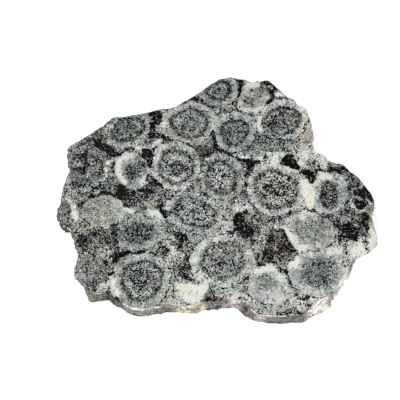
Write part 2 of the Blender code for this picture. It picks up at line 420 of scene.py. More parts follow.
# Orbicules, in the plane of the face. edge, ring and core are x, y, half length and half
# width, and tilt turns them. depth is how far the centre lies above (+) or below (-) the
# face. edgeWave and ringWave push the ellipses in or out, in percent, at even steps round.
# dark and side are the dark ring's strength and the way its strongest part faces.
# light is how light the core, the zone round it and the rim look from a step away, 0 to 255,
# and specks the share of dark grains in each.
orbicules = {
    "crest": dict(
        edge=(2, 49.6, 8.3, 7.6), ring=(1, 49.3, 5.4, 4.8), core=(1.2, 49, 3.6, 3.2),
        depth=-3, dark=0.85, side=20, light=(97, 158, 148), specks=(0.47, 0.11, 0.09),
        edgeWave=(99, 101, 93, 99, 106, 104, 105, 106, 120, 127, 121, 116, 113, 102, 98, 98),
        ringWave=(96, 104, 97, 96, 87, 74, 73, 78, 96, 105, 97, 96, 96, 93, 93, 97),
    ),
    "blush": dict(
        edge=(17.5, 46.5, 6.8, 7), ring=(16, 44, 2, 2), core=(14.6, 43, 2.8, 3.2),
        depth=-5, dark=0, side=0, light=(118, 158, 150), specks=(0.39, 0.16, 0.11),
        edgeWave=(97, 99, 107, 97, 88, 91, 100, 97, 103, 120, 130, 132, 130, 120, 103, 96),
    ),
    "crown": dict(
        edge=(30.5, 35.2, 11.2, 10), ring=(29.8, 34.6, 8.2, 7.2), core=(27, 32.6, 4.2, 3),
        depth=-1, dark=1, side=55, spread=0.45, light=(95, 124, 180), specks=(0.67, 0.48, 0.16),
        edgeWave=(96, 97, 95, 96, 103, 98, 95, 99, 96, 89, 88, 91, 102, 103, 94, 92),
        ringWave=(91, 98, 93, 87, 88, 83, 80, 87, 94, 111, 113, 112, 97, 93, 90, 86),
    ),
    "shoulder": dict(
        edge=(8.5, 29.2, 9.1, 9.8), ring=(8.3, 28.3, 6.4, 6.3), core=(8, 27.5, 5, 4.6),
        depth=-2, dark=0.81, side=150, light=(99, 128, 154), specks=(0.53, 0.42, 0.15),
        edgeWave=(97, 103, 106, 97, 100, 98, 103, 104, 106, 109, 117, 117, 111, 103, 100, 98),
        ringWave=(83, 90, 101, 102, 94, 96, 100, 100, 94, 86, 97, 110, 103, 85, 79, 77),
    ),
    "brow": dict(
        edge=(-12.7, 32.8, 12.3, 10.2), ring=(-12.3, 33.3, 8.6, 7.1), core=(-12, 33, 5, 4),
        depth=-4, dark=0.87, side=-15, light=(106, 130, 163), specks=(0.47, 0.47, 0.12),
        edgeWave=(118, 109, 107, 107, 100, 91, 96, 105, 105, 106, 104, 98, 102, 111, 105, 111),
        ringWave=(94, 95, 95, 94, 91, 82, 79, 90, 93, 92, 92, 96, 100, 103, 96, 92),
    ),
    "twin": dict(
        edge=(-39.8, 28.8, 10.6, 9.2), ring=(-40.4, 30.4, 7.6, 6.4), core=(-40, 30, 5, 4),
        depth=-2, dark=0.78, side=230, light=(94, 119, 156), specks=(0.57, 0.48, 0.18),
        edgeWave=(100, 113, 120, 117, 108, 100, 88, 91, 100, 103, 105, 98, 93, 99, 88, 93),
        ringWave=(101, 103, 100, 82, 71, 71, 68, 69, 70, 86, 102, 107, 94, 88, 88, 92),
    ),
    "temple": dict(
        edge=(-58.5, 12, 9.6, 9.6), ring=(-58.7, 11.2, 7.2, 6.1), core=(-60.6, 12, 4, 6),
        depth=-3, dark=0.78, side=5, spread=0.55, light=(84, 134, 126), specks=(0.66, 0.44, 0.31),
        edgeWave=(121, 118, 110, 112, 111, 100, 94, 103, 104, 104, 99, 94, 97, 111, 117, 117),
        ringWave=(107, 110, 106, 96, 91, 91, 89, 86, 79, 82, 87, 97, 110, 108, 110, 106),
    ),
    "pearl": dict(
        edge=(-38, 11, 7.6, 8.4), ring=(-37, 9.2, 3.4, 3.8), core=(-37, 9, 3.4, 3.4),
        depth=4, dark=0.1, side=0, light=(74, 108, 154), specks=(0.69, 0.51, 0.08),
        edgeWave=(108, 105, 98, 92, 93, 93, 101, 100, 95, 104, 111, 114, 115, 126, 117, 110),
    ),
    "eye": dict(
        edge=(-17.6, 12.4, 10.8, 11.2), ring=(-17.6, 12.2, 7.1, 8), core=(-17.4, 10.6, 4.2, 4.4),
        depth=-3, dark=0.76, side=20, light=(86, 146, 170), specks=(0.69, 0.36, 0.18),
        edgeWave=(98, 98, 99, 98, 99, 106, 113, 108, 107, 111, 112, 110, 109, 104, 98, 97),
        ringWave=(96, 94, 89, 90, 90, 102, 109, 103, 107, 114, 110, 105, 105, 98, 96, 94),
    ),
    "heart": dict(
        edge=(2.6, 7, 9.7, 10.5), ring=(2.3, 7, 7, 7.4), core=(1, 6.5, 3, 5),
        depth=-1, dark=0.72, side=10, light=(136, 130, 150), specks=(0.61, 0.43, 0.22),
        edgeWave=(103, 104, 101, 97, 106, 110, 107, 99, 106, 108, 108, 108, 104, 105, 109, 103),
        ringWave=(86, 84, 83, 83, 93, 101, 94, 91, 97, 101, 102, 104, 104, 102, 103, 93),
    ),
    "wheel": dict(
        edge=(25.6, 1.3, 12.1, 12.2), ring=(26, 1, 9, 8.9), core=(25.6, 0.8, 5.6, 5.2),
        depth=-2, dark=0.74, side=-50, light=(100, 130, 172), specks=(0.71, 0.53, 0.17),
        edgeWave=(110, 115, 109, 101, 106, 112, 110, 106, 102, 102, 102, 105, 106, 103, 106, 106),
        ringWave=(95, 96, 89, 84, 96, 106, 107, 105, 95, 93, 94, 98, 99, 95, 96, 96),
    ),
    "kernel": dict(
        edge=(49.8, -1.2, 8.2, 9.6), ring=(48.8, -1.8, 3.9, 6.4), core=(48.8, -1.8, 4.4, 7),
        depth=2, dark=0.04, side=0, light=(84, 90, 162), specks=(0.65, 0.57, 0.12),
        edgeWave=(92, 99, 102, 105, 108, 118, 117, 118, 117, 114, 110, 112, 103, 93, 91, 91),
    ),
    "granite": dict(
        edge=(-9.3, -9.6, 12, 8.4), tilt=-24, ring=(-9.8, -10, 9.4, 6.2), core=(-9.5, -10, 7, 5),
        depth=-2, dark=0.8, side=-100, light=(131, 135, 150), specks=(0.46, 0.49, 0.21),
        edgeWave=(102, 102, 104, 100, 99, 104, 106, 103, 110, 119, 122, 118, 116, 116, 115, 106),
        ringWave=(92, 92, 92, 88, 89, 96, 99, 98, 91, 94, 95, 95, 95, 91, 90, 93),
    ),
    "moon": dict(
        edge=(2.4, -31.6, 13.2, 11.4), ring=(2, -32, 9, 8.6), core=(2, -32, 6.4, 6),
        depth=-3, dark=0.62, side=30, light=(112, 128, 172), specks=(0.51, 0.46, 0.17),
        edgeWave=(110, 105, 107, 108, 102, 98, 99, 102, 108, 114, 114, 106, 108, 101, 100, 109),
        ringWave=(93, 100, 103, 93, 88, 89, 89, 89, 94, 96, 92, 91, 91, 90, 89, 91),
    ),
    "wreath": dict(
        edge=(-32.6, -41.4, 12.4, 12.2), ring=(-32.4, -41.2, 8.6, 8.9), core=(-32, -41, 5.8, 5.4),
        depth=-3, dark=0.73, side=80, light=(111, 126, 161), specks=(0.57, 0.48, 0.1),
        edgeWave=(95, 104, 109, 106, 103, 104, 110, 104, 104, 109, 103, 109, 111, 110, 100, 92),
        ringWave=(91, 101, 100, 98, 95, 93, 97, 98, 92, 91, 90, 96, 96, 88, 89, 88),
    ),
    "frost": dict(
        edge=(-50, -9.2, 9.8, 7.6), ring=(-50, -9, 6, 4.6), core=(-49, -9, 4, 3),
        depth=5, dark=0.08, side=0, light=(139, 158, 166), specks=(0.2, 0.14, 0.09),
        edgeWave=(96, 101, 103, 106, 95, 91, 93, 95, 94, 90, 91, 97, 109, 105, 105, 103),
    ),
    "leaf": dict(
        edge=(-32.6, -19.8, 10.8, 7.2), tilt=8, ring=(-34.3, -19.6, 6.6, 4.3),
        core=(-34.6, -19.8, 6.3, 3.8),
        depth=1, dark=0.24, side=180, light=(76, 92, 156), specks=(0.67, 0.56, 0.2),
        edgeWave=(100, 111, 124, 120, 118, 114, 105, 105, 104, 109, 117, 113, 103, 95, 96, 98),
    ),
    "sand": dict(
        edge=(-54.2, -36, 8.2, 8), ring=(-54, -36, 6.6, 6.4), core=(-54, -36, 5, 5),
        depth=2, dark=0.25, side=200, light=(110, 118, 138), specks=(0.49, 0.29, 0.3),
        edgeWave=(95, 80, 72, 74, 79, 83, 76, 72, 73, 73, 73, 76, 90, 92, 100, 107),
    ),
    "lobe": dict(
        edge=(-67, -9.6, 5, 6.4), ring=(-67.4, -10.4, 2.6, 4.2), core=(-67.4, -10.4, 2, 3.4),
        depth=-2, dark=0.57, side=0, light=(104, 124, 114), specks=(0.32, 0.36, 0.26),
    ),
    "dusk": dict(
        edge=(44, -38, 11.6, 9.8), ring=(43.6, -37.4, 8, 6.8), core=(43.6, -37.6, 8, 6.4),
        depth=-2, dark=0.1, side=90, light=(92, 132, 174), specks=(0.49, 0.34, 0.1),
        edgeWave=(92, 97, 101, 105, 100, 107, 118, 121, 119, 114, 111, 111, 102, 92, 87, 86),
    ),
    "milk": dict(
        edge=(22.4, -43, 9, 8.8), ring=(20.8, -40, 3.4, 3), core=(20.6, -39.6, 2.3, 2),
        depth=3, dark=0.08, side=0, light=(111, 142, 177), specks=(0.35, 0.03, 0.07),
        edgeWave=(90, 85, 93, 102, 110, 113, 103, 102, 99, 109, 106, 99, 95, 106, 109, 105),
    ),
    "haze": dict(
        edge=(39.4, -18.2, 9.8, 8.8), ring=(39.4, -18.6, 5.6, 5.6), core=(39.6, -18.8, 5.4, 5.2),
        depth=2, dark=0.13, side=120, light=(120, 150, 166), specks=(0.27, 0.14, 0.1),
        edgeWave=(123, 113, 100, 96, 106, 109, 109, 110, 111, 105, 107, 115, 108, 112, 117, 123),
    ),
}

# Buried ones, met only by the wall and the sawn back: x, y, half sizes of edge, ring and core,
# depth, dark, side, light and specks.
buriedBalls = [
    (-20, -4, (9, 9), (6.5, 6.5), (4, 4), -13, 0.67, 0, (100, 126, 168), (0.58, 0.49, 0.08)),
    (15, 18, (8, 8), (6, 6), (3.5, 3.5), -13, 0.67, 90, (104, 126, 172), (0.58, 0.49, 0.08)),
    (58, -22, (9, 8), (6.5, 6), (4, 4), -14, 0.59, 180, (92, 120, 174), (0.62, 0.49, 0.08)),
    (-16, -26, (9, 9), (6.6, 6.6), (4, 4), -13, 0.67, 40, (100, 128, 168), (0.58, 0.49, 0.08)),
    (24, -24, (9, 9), (6.6, 6.6), (4, 4), -13, 0.63, 200, (96, 124, 172), (0.6, 0.49, 0.08)),
    (-50, 24, (9, 9), (6.6, 6.6), (4, 4), -13, 0.63, 300, (100, 124, 162), (0.58, 0.49, 0.1)),
]
for number, (x, y, edge, ring, core, depth, dark, side, light, specks) in enumerate(buriedBalls):
    orbicules[f"buried{number}"] = dict(
        buried=True, edge=(x, y, *edge), ring=(x, y, *ring), core=(x, y, *core),
        depth=depth, dark=dark, side=side, light=light, specks=specks,
    )

# Streaks and blots. Each is a string of round spots, x, y and half width, joined up; share is
# how much of it is dark grains, and brown how much of that is brown mica.
darkBlots = [
    (0.97, 0.1, [(-30.6, 38.2, 0.7), (-28.4, 37.8, 1.8), (-26.8, 36.6, 2.4), (-26.6, 34, 1.8)]),
    (0.93, 0.1, [(-28.8, 33, 1.2), (-28.6, 30, 1.2), (-29.4, 27.2, 1.4)]),
    (0.9, 0.1, [(-28.2, 27.8, 0.9), (-25.5, 26.4, 1.2), (-22.6, 25.2, 0.9), (-20.6, 24.1, 0.9)]),
    (0.85, 0.3, [(-58, 24.2, 0.8), (-55, 25, 1.3), (-53, 23.6, 1.6)]),
    (0.64, 0.95, [(-52.8, 28.6, 0.8), (-52.4, 25.6, 1.5), (-52.6, 23.8, 1.1)]),
    (0.95, 0.2, [(-51, 28, 0.5), (-52.2, 27, 0.4), (-53.6, 26.5, 0.4)]),
    (0.96, 0.1, [(-53.2, 22.2, 1.3), (-50.8, 21.8, 1.8), (-48.6, 20, 1.7), (-46, 18, 1.5),
                 (-43, 17.5, 0.8)]),
    (0.7, 0.1, [(-54, 29.2, 0.5), (-51.4, 30.9, 0.6), (-49.4, 32.7, 0.7), (-47.4, 34.4, 0.5)]),
    (0.7, 0.1, [(-49, 17, 1), (-46.5, 15.8, 0.8)]),
    (0.95, 0.1, [(-40.5, 19.8, 0.4), (-39, 20, 0.8), (-37.3, 20.2, 0.5)]),
    (0.97, 0.1, [(-33, 19.8, 0.8), (-31, 18.2, 2.1), (-29.6, 17, 1.2)]),
    (0.95, 0.1, [(-34.4, 17.2, 0.6), (-32, 16.8, 1.3), (-30.2, 15.8, 1.5), (-29.7, 13.6, 1),
                 (-29.8, 11.4, 0.5)]),
    (0.55, 0, [(-34.4, 14.8, 1.6), (-32.6, 13, 1.4), (-32, 10.6, 0.8)]),
    (0.85, 0.1, [(-29.6, 20, 0.6), (-28.3, 20.3, 0.4)]),
    (0.95, 0.1, [(-45.7, 13.2, 1), (-45.8, 11.6, 0.8)]),
    (0.9, 0.1, [(-46, 9, 0.6)]),
    (0.85, 0.1, [(-48, 9, 0.6)]),
    (0.8, 0.1, [(-48, 12.1, 0.4)]),
    (0.98, 0.75, [(-43.2, 2.4, 0.8), (-41.6, 2, 1.5), (-41.8, -0.4, 2.6), (-41.2, -2.8, 1.5)]),
    (0.92, 0.3, [(-43.4, -2.6, 0.9), (-45.6, -1.5, 0.7), (-48.6, -0.6, 0.9), (-51, -1.1, 0.8),
                 (-52.6, -2.6, 0.5)]),
    (0.93, 0.1, [(-56.3, -3.3, 0.6), (-54.7, -2.6, 0.9)]),
    (0.9, 0.1, [(-55.6, -0.6, 0.4), (-54, 1, 0.5), (-52, 2.2, 0.6), (-51.3, 3.6, 0.4)]),
    (0.92, 0.1, [(-41, -4.6, 0.5), (-40.2, -6.4, 0.8), (-38.8, -7.5, 0.5)]),
    (0.9, 0.3, [(-39.4, 0.9, 0.6), (-38.6, 1, 0.4)]),
    (0.92, 0.3, [(-37, 0, 0.7), (-36.3, -1, 0.8), (-36.8, -2, 0.5)]),
    (0.95, 0.1, [(-34.8, 0.4, 0.5), (-33, 0.9, 0.9), (-31.6, 0.2, 1.3), (-29, -0.3, 1.1)]),
    (0.93, 0.1, [(-30, 7.4, 0.7), (-28.3, 5.6, 0.9), (-26.5, 4, 0.9), (-25, 2.4, 0.8), (-24.4, 1.6, 0.6)]),
    (0.9, 0.1, [(-31, 5.2, 0.6), (-30.4, 7, 0.5)]),
    (0.7, 0.2, [(-28.8, 4, 1.4), (-28, 2, 1.6)]),
    (0.68, 0.1, [(-38.6, -4.4, 1.8), (-36.8, -5.2, 1)]),
    (0.5, 0.5, [(-26, -4.6, 1.1), (-22.5, -3, 1.2), (-20.5, -4, 0.9)]),
    (0.9, 0.3, [(-26.8, -7.4, 0.35), (-23.8, -7.1, 0.45)]),
    (0.95, 0.3, [(-24.8, -9, 0.8), (-23.2, -9.8, 1.6), (-22.8, -11.5, 1.1), (-21.9, -12.7, 0.5)]),
    (0.62, 0.1, [(-21, -10.2, 1.2), (-19, -10.6, 1)]),
    (0.97, 0.1, [(9.6, 15.2, 0.6), (12, 14.8, 0.9), (15, 13.8, 1.7), (14.6, 12, 1.9), (14, 9.5, 1.2),
                 (13, 7.6, 0.7)]),
    (0.93, 0.1, [(16.6, 13.7, 1.1), (18.3, 13.7, 0.7)]),
    (0.93, 0.1, [(12.7, 4.8, 0.5), (12.8, 2.8, 0.8)]),
    (0.9, 0.1, [(-2.4, 26.8, 0.4), (-1.5, 28, 0.9)]),
    (0.94, 0.1, [(-1.4, 28.2, 0.8), (-0.9, 26, 0.7), (-1, 24, 0.7), (-1.2, 21.8, 0.8), (-0.4, 20.2, 0.9)]),
    (0.93, 0.1, [(-0.4, 20.2, 0.9), (1.6, 19.7, 0.8), (3.5, 18.5, 0.8), (6, 17, 0.5), (8, 16, 0.5),
                 (9.6, 15.4, 0.6)]),
    (0.66, 0.5, [(-8, 21.4, 1.2), (-5.6, 20.6, 1.7), (-3.4, 19.6, 1.5)]),
    (0.92, 0.4, [(-4.9, 18.6, 0.8), (-4.2, 16.8, 0.7)]),
    (0.7, 0.1, [(-6.6, 15, 0.9), (-5, 14.2, 0.8), (-4, 12.8, 0.6)]),
    (0.98, 0, [(28.8, 14.2, 1.2), (30.4, 14.6, 2.1), (32, 14.2, 2.3), (33.8, 12.6, 1.9),
               (35.6, 11.2, 1.2)]),
    (0.96, 0, [(30.6, 16.4, 1), (32.6, 17, 0.7), (34, 17, 0.5)]),
    (0.75, 0.1, [(12.8, 44.2, 0.45), (14.4, 43.3, 0.5), (16.1, 41.8, 0.6)]),
    (0.5, 0.1, [(15.6, 46, 0.6), (14.6, 45, 0.5)]),
    (0.8, 0.1, [(-54, -8.2, 0.4)]),
    (0.9, 0, [(-61.5, 10.4, 0.8), (-59.4, 10.2, 1)]),
    (0.8, 0, [(-58, 13.2, 0.5), (-56, 11.6, 0.7)]),
    (0.76, 0, [(-63, 17.4, 0.5), (-59, 16.8, 1), (-55.6, 16.4, 0.6)]),
    (0.8, 0, [(-63.2, 15.6, 0.5)]),
    (0.8, 0, [(-64.8, 11, 0.4), (-63.4, 10.8, 0.3)]),
    (0.72, 0, [(-62, 8.4, 0.4), (-58.6, 7.9, 0.5)]),
    (0.8, 0, [(-64.6, 4.9, 0.4), (-62.6, 3.9, 0.6), (-61, 4, 0.4)]),
    (0.95, 0, [(37.2, 9.4, 0.8), (39.2, 9.2, 1.4), (41, 8.6, 1.5), (41.6, 6.6, 1.7), (41, 5, 1)]),
    (0.8, 0, [(39.8, 13.8, 0.6), (40, 12.4, 0.5)]),
    (0.8, 0, [(42.4, 13.2, 0.8), (43.3, 14.2, 0.5)]),
    (0.85, 0, [(44.8, 12, 0.7), (45.4, 10.2, 0.6), (47, 10, 0.4)]),
    (0.7, 0, [(42, 11.2, 1), (44, 8, 0.5)]),
    (0.95, 0, [(50.1, 12.8, 0.6), (50.3, 11.4, 0.9), (49.6, 9.8, 0.9)]),
    (0.9, 0, [(50.6, 10.4, 1.2), (52.4, 10.2, 1.3), (54, 9.4, 1.1), (55, 8.4, 0.9)]),
    (0.84, 0, [(55.4, 10.6, 1), (57.4, 9.6, 1.1)]),
    (0.62, 0, [(57.6, 8, 1.8), (60, 6, 2.2), (61.6, 3.6, 2)]),
    (0.88, 0, [(58, 1, 0.9), (59.4, 2.3, 0.7)]),
    (0.97, 0.8, [(61.2, -0.8, 1.3), (63.2, -0.6, 2.1), (65, -1.6, 2)]),
    (0.97, 0.1, [(65.4, 1, 1.2), (66.8, -1.4, 1.6), (67.6, -3.6, 1.5)]),
    (0.97, 0, [(61.4, -5.4, 1.5), (62.6, -6.6, 2), (64.4, -5.6, 1.6)]),
    (0.93, 0.2, [(63.4, -10.4, 0.9), (64.6, -11.8, 1.4), (64.2, -14.6, 1.7), (64.8, -17.4, 1.2)]),
    (0.66, 0.3, [(58.6, -11.4, 2), (61, -13.8, 2.2)]),
    (0.98, 0, [(54.2, -17.4, 1.5), (56.2, -17.6, 2.4), (58.6, -19, 2.4), (59.2, -21.4, 1.5)]),
    (0.95, 0, [(56.4, -20.6, 1.4), (59.6, -22.8, 0.7)]),
    (0.88, 0, [(62.5, -20, 0.9), (64.5, -20.8, 0.6)]),
    (0.85, 0, [(63.5, -23.2, 0.8), (64.7, -23.9, 0.5)]),
    (0.8, 0.3, [(64.5, -26.5, 0.6)]),
    (0.78, 0, [(53.6, -21, 1.1), (53, -23.4, 0.9), (52.7, -25.4, 0.7)]),
    (0.62, 0, [(55, -8.4, 1), (54.2, -11, 1.4), (52.2, -14.6, 1.2), (51.6, -17.4, 0.9)]),
    (0.75, 0, [(46, -11.2, 1.1), (48.5, -12, 0.9), (50.6, -11.3, 0.5)]),
    (0.72, 0, [(44.9, -15.6, 0.5), (46.3, -13.2, 0.5)]),
    (0.68, 0, [(55, -25.6, 0.9), (55, -28.4, 0.9)]),
    (0.98, 0.1, [(9.6, -11, 1.3), (9.2, -13.4, 2), (8.4, -15.6, 1.2)]),
    (0.97, 0.1, [(11.6, -12.6, 1.2), (11.4, -15, 1.3), (11.4, -17.8, 1.9), (13.6, -18.5, 2.3),
                 (14.4, -20.4, 1.4)]),
    (0.95, 0.1, [(9, -17.6, 0.8), (12.2, -21.4, 1.2)]),
    (0.85, 0.1, [(5.6, -19, 1), (4.3, -19.6, 0.5)]),
    (0.85, 0.1, [(5, -13.4, 0.7), (5.8, -12.8, 0.4)]),
    (0.64, 0.5, [(22.6, -18.6, 0.9), (25.6, -18.8, 1.2)]),
    (0.84, 0.7, [(23.4, -20.4, 1.4), (22.8, -23, 1.5), (22.2, -26.4, 1.8), (21.6, -29, 1.9)]),
    (0.8, 0.3, [(21.4, -30.8, 1.5), (19.6, -33, 1.4), (17.8, -34.2, 0.8)]),
    (0.84, 0.4, [(27.6, -18.4, 0.8), (28.4, -20.6, 1.3), (30, -23.6, 1.6), (31.8, -27, 1.5),
                 (33.6, -29.2, 0.8)]),
    (0.9, 0.8, [(28.5, -26.3, 2.3)]),
    (0.72, 0.6, [(25.8, -28.6, 1.6), (23.8, -30.6, 1.8), (25, -32.8, 1.4)]),
    (0.6, 0.6, [(27.6, -31.4, 1.8), (30.4, -30.4, 1.4), (29, -33.4, 1)]),
    (0.7, 0.5, [(25.4, -22.4, 2), (25.6, -24.6, 1.6)]),
    (0.84, 0.1, [(-18.4, -20, 1.1), (-16.6, -21.2, 1.9), (-14.8, -22, 1.8)]),
    (0.86, 0.1, [(-15.6, -23.6, 1.5), (-16.4, -26, 0.8)]),
    (0.85, 0.1, [(-19.4, -25, 0.6)]),
    (0.7, 0.1, [(-17, -27.4, 0.8), (-15.4, -27.5, 1.2)]),
    (0.72, 0.5, [(-12.8, -30.4, 0.9), (-14, -32.4, 1.3), (-12.6, -34.6, 1.3)]),
    (0.74, 0.5, [(-17, -35, 1.7), (-13.4, -36.4, 1.5), (-15.4, -37.4, 1.5)]),
    (0.88, 0.2, [(-16.4, -38, 0.9), (-14, -39.2, 1), (-12, -40.2, 0.9), (-10.4, -40.8, 0.6)]),
    (0.7, 0.4, [(-19, -35, 1.1), (-18, -36.2, 0.9)]),
    (0.8, 0.7, [(-60, -21.6, 1), (-57.6, -21.2, 1.1), (-54.8, -20.2, 1.2)]),
    (0.96, 0.2, [(-60, -22.6, 1.4), (-58.2, -23.3, 2), (-56.4, -22.8, 1.4)]),
    (0.66, 0.3, [(-60.6, -22, 1), (-56, -24, 1.8), (-54.6, -22.4, 1.2)]),
    (0.82, 0.1, [(-51.2, -17.4, 1.1), (-49.4, -18.4, 1.1)]),
    (0.84, 0.1, [(-45.6, -16.6, 1.3), (-44.6, -19.4, 1.2), (-44.4, -21.4, 0.8)]),
    (0.78, 0.1, [(-50.2, -23.4, 1.4), (-47.2, -23.2, 1)]),
    (0.82, 0.1, [(-43.6, -23.2, 1), (-43.8, -25, 0.8)]),
    (0.64, 0.1, [(-53, -18.4, 1.2), (-49, -21, 2.4), (-45.6, -25.6, 1.6), (-43.2, -27.6, 1.2)]),
    (0.97, 0.1, [(-45.4, -30, 0.8), (-43.6, -31, 2.1), (-44.3, -32.7, 0.9)]),
    (0.97, 0.1, [(-42.6, -30, 1.2), (-40.5, -29.4, 1.2), (-38.4, -28.4, 1), (-36.9, -28.8, 0.7)]),
    (0.93, 0.1, [(-34.8, -28.6, 0.9), (-33.3, -28.1, 0.9), (-31.8, -27.5, 0.7)]),
    (0.82, 0, [(-28.6, -28.7, 0.5), (-26.5, -29, 0.7)]),
    (0.82, 0, [(-25.6, -28, 0.9), (-24, -26.4, 1.3), (-22.4, -27.8, 1.6), (-22.8, -29.4, 1)]),
    (0.7, 0, [(-24, -30, 0.5), (-22.4, -31.2, 0.5)]),
    (0.88, 0.1, [(-49.5, -31.7, 0.6), (-48.2, -33.1, 0.9)]),
    (0.7, 0.2, [(-47, -34.4, 0.9), (-45.4, -35.4, 0.8)]),
    (0.93, 0.1, [(-46, -37.7, 0.6), (-44.4, -38, 0.5)]),
    (0.85, 0.1, [(-48.5, -39, 0.5)]),
    (0.85, 0.1, [(-56.5, -33, 0.7)]),
    (0.94, 0.1, [(-47.4, -46.2, 0.5), (-46.5, -45.8, 0.7), (-45.8, -46.4, 0.5)]),
    (0.93, 0, [(-19, -43.7, 0.5), (-18.9, -45.5, 0.3), (-18.9, -46.5, 0.5), (-18.7, -48.7, 0.3)]),
    (0.64, 0.7, [(-6.4, -49.5, 0.8), (-4.4, -47.8, 1.5), (-3.8, -46, 1.3)]),
    (0.7, 0.6, [(-3, -48.8, 1.6), (0, -49, 1.3), (2.6, -49.6, 0.8)]),
    (0.93, 0.1, [(8, -49, 0.3), (10.5, -48.8, 0.35)]),
    (0.72, 0.1, [(26.6, -35, 0.9), (28, -37, 1), (29.4, -36.4, 0.7)]),
    (0.8, 0.1, [(29.5, -40, 0.5), (30.5, -42, 0.5), (31, -43.8, 0.4)]),
    (0.78, 0.1, [(34, -48.4, 0.5), (36, -49.5, 0.6), (38, -49, 0.8)]),
    (0.76, 0.1, [(37.6, -51, 0.6), (39, -52.3, 0.5)]),
    (0.7, 0, [(35, -46, 0.6), (33, -48, 0.6)]),
    (0.8, 0, [(46.5, -47.6, 0.7), (48.5, -47.2, 0.7)]),
    (0.6, 0, [(43.4, -49, 0.9), (41.5, -49.8, 0.5)]),
    (0.74, 0, [(25, -55.6, 0.8), (28.6, -55.4, 0.9), (32, -53.6, 1.2), (34.6, -54.8, 0.9)]),
    (0.5, 0.1, [(41, -28, 0.3), (44, -27.8, 0.5), (47, -27.5, 0.3)]),
    (0.95, 0.1, [(-15.6, 42.7, 0.4), (-13.5, 43.7, 0.5), (-12, 44.8, 0.6), (-10.2, 45.2, 0.9),
                 (-8.6, 44.8, 0.9)]),
    (0.82, 0.1, [(-7, 44.2, 0.6), (-5, 42.6, 0.6), (-3.5, 41.5, 0.5), (-1.5, 40.7, 0.4), (1, 40.2, 0.6)]),
    (0.78, 0.1, [(1, 40.2, 0.6), (3, 38.8, 0.6), (5, 38.2, 0.5)]),
    (0.85, 0.1, [(7, 42.3, 0.5), (8.7, 40.6, 0.5)]),
    (0.85, 0.1, [(9.5, 39.2, 0.3), (11.5, 39, 0.35)]),
    (0.85, 0.1, [(9.3, 43, 0.3)]),
    (0.55, 0.1, [(36.4, 33.6, 0.9), (36.9, 36.4, 1), (35.2, 38.6, 0.8)]),
    (0.96, 0.2, [(-47.4, -46, 0.5), (-46.3, -45.8, 0.8)]),
    (0.95, 0.1, [(-43.9, -48.2, 0.35), (-42.6, -49.7, 0.5), (-41.4, -51.2, 0.35)]),
    (0.8, 0.3, [(-1, -50, 0.8), (2, -50.3, 0.7), (4, -50.6, 0.4)]),
    (0.9, 0.4, [(11.4, -52, 0.7), (12.4, -53.4, 0.9)]),
    (0.96, 0, [(9.8, 54.6, 0.8), (11.3, 53.7, 1.4), (11.2, 51.2, 1), (10.8, 48.8, 0.8), (10.5, 47.2, 0.4)]),
    (0.94, 0, [(21, 53.4, 0.6), (22.8, 53, 1), (24.8, 52.2, 0.9)]),
    (0.74, 0, [(23.6, 51.4, 1), (23.6, 49.4, 1)]),
    (0.97, 0, [(24.6, 48.4, 1.1), (24.9, 47, 1.4)]),
    (0.94, 0, [(25.4, 45.6, 1), (24.4, 44, 0.8), (23, 42.4, 0.4)]),
    (0.93, 0, [(25.6, 52, 0.8), (27, 50.8, 0.9), (28.6, 49.8, 0.6)]),
    (0.85, 0, [(26, 50.2, 0.4), (28, 49.8, 0.4)]),
    (0.85, 0.9, [(26.5, 45.6, 0.5), (29.5, 45.6, 0.6), (32, 45.5, 0.6)]),
    (0.8, 0.5, [(16.2, 49.2, 0.7)]),
    (0.75, 0.2, [(21, 53, 0.8), (20.5, 50.6, 0.6)]),
    (0.88, 0.1, [(21.7, 16.1, 1)]),
    (0.8, 0.1, [(23.8, 15, 0.5)]),
    (0.8, 0.1, [(19.9, 38.3, 0.6), (19.4, 37, 0.4)]),
    (0.8, 0.1, [(15, 37.8, 0.3), (17.2, 36, 0.4)]),
    (0.7, 0.1, [(17.6, 34.8, 0.3), (17.6, 33, 0.3)]),
    (0.72, 0.6, [(21.2, 35.6, 0.5), (20.8, 33.2, 0.8), (21.2, 31.6, 0.4)]),
    (0.8, 0.3, [(40.4, 32.4, 0.35), (39.2, 30.6, 0.3)]),
    (0.7, 0.6, [(41, 24, 0.7), (39.4, 24, 0.4)]),
    (0.9, 0.1, [(-67, -0.4, 0.5), (-66.3, 0.2, 0.5)]),
    (0.92, 0.4, [(-60.8, -6.6, 0.7), (-59.3, -5.5, 0.8)]),
    (0.85, 0.1, [(-63.9, -8.4, 0.4)]),
    (0.85, 0, [(-19, 24.5, 0.15), (-16, 23.8, 0.2), (-13, 22.6, 0.2), (-11.2, 21.6, 0.3)]),
    (0.56, 0, [(16, -12, 1.8), (20, -13.2, 1.6), (26.4, -12.8, 1.6)]),
    (0.7, 0.5, [(12.6, -9.8, 1.4), (12.8, -13, 1.8), (15, -16.4, 1.6), (17.4, -18.6, 1.3)]),
    (0.84, 0.2, [(15.4, -23.4, 1)]),
    (0.7, 0.3, [(17.4, -29, 1), (16.8, -31.6, 0.8)]),
    (0.6, 0, [(35.4, -9.2, 0.4), (38.4, -8.2, 0.4), (39.8, -8.4, 0.3), (42, -10, 0.3)]),
    (0.65, 0, [(30.2, -10.4, 0.4), (33, -9.6, 0.5), (35.4, -9.2, 0.4)]),
    (0.7, 0, [(14, -4.6, 0.6), (15.6, -7, 0.7)]),
    (0.8, 0.1, [(43.8, 1.6, 0.4)]),
]

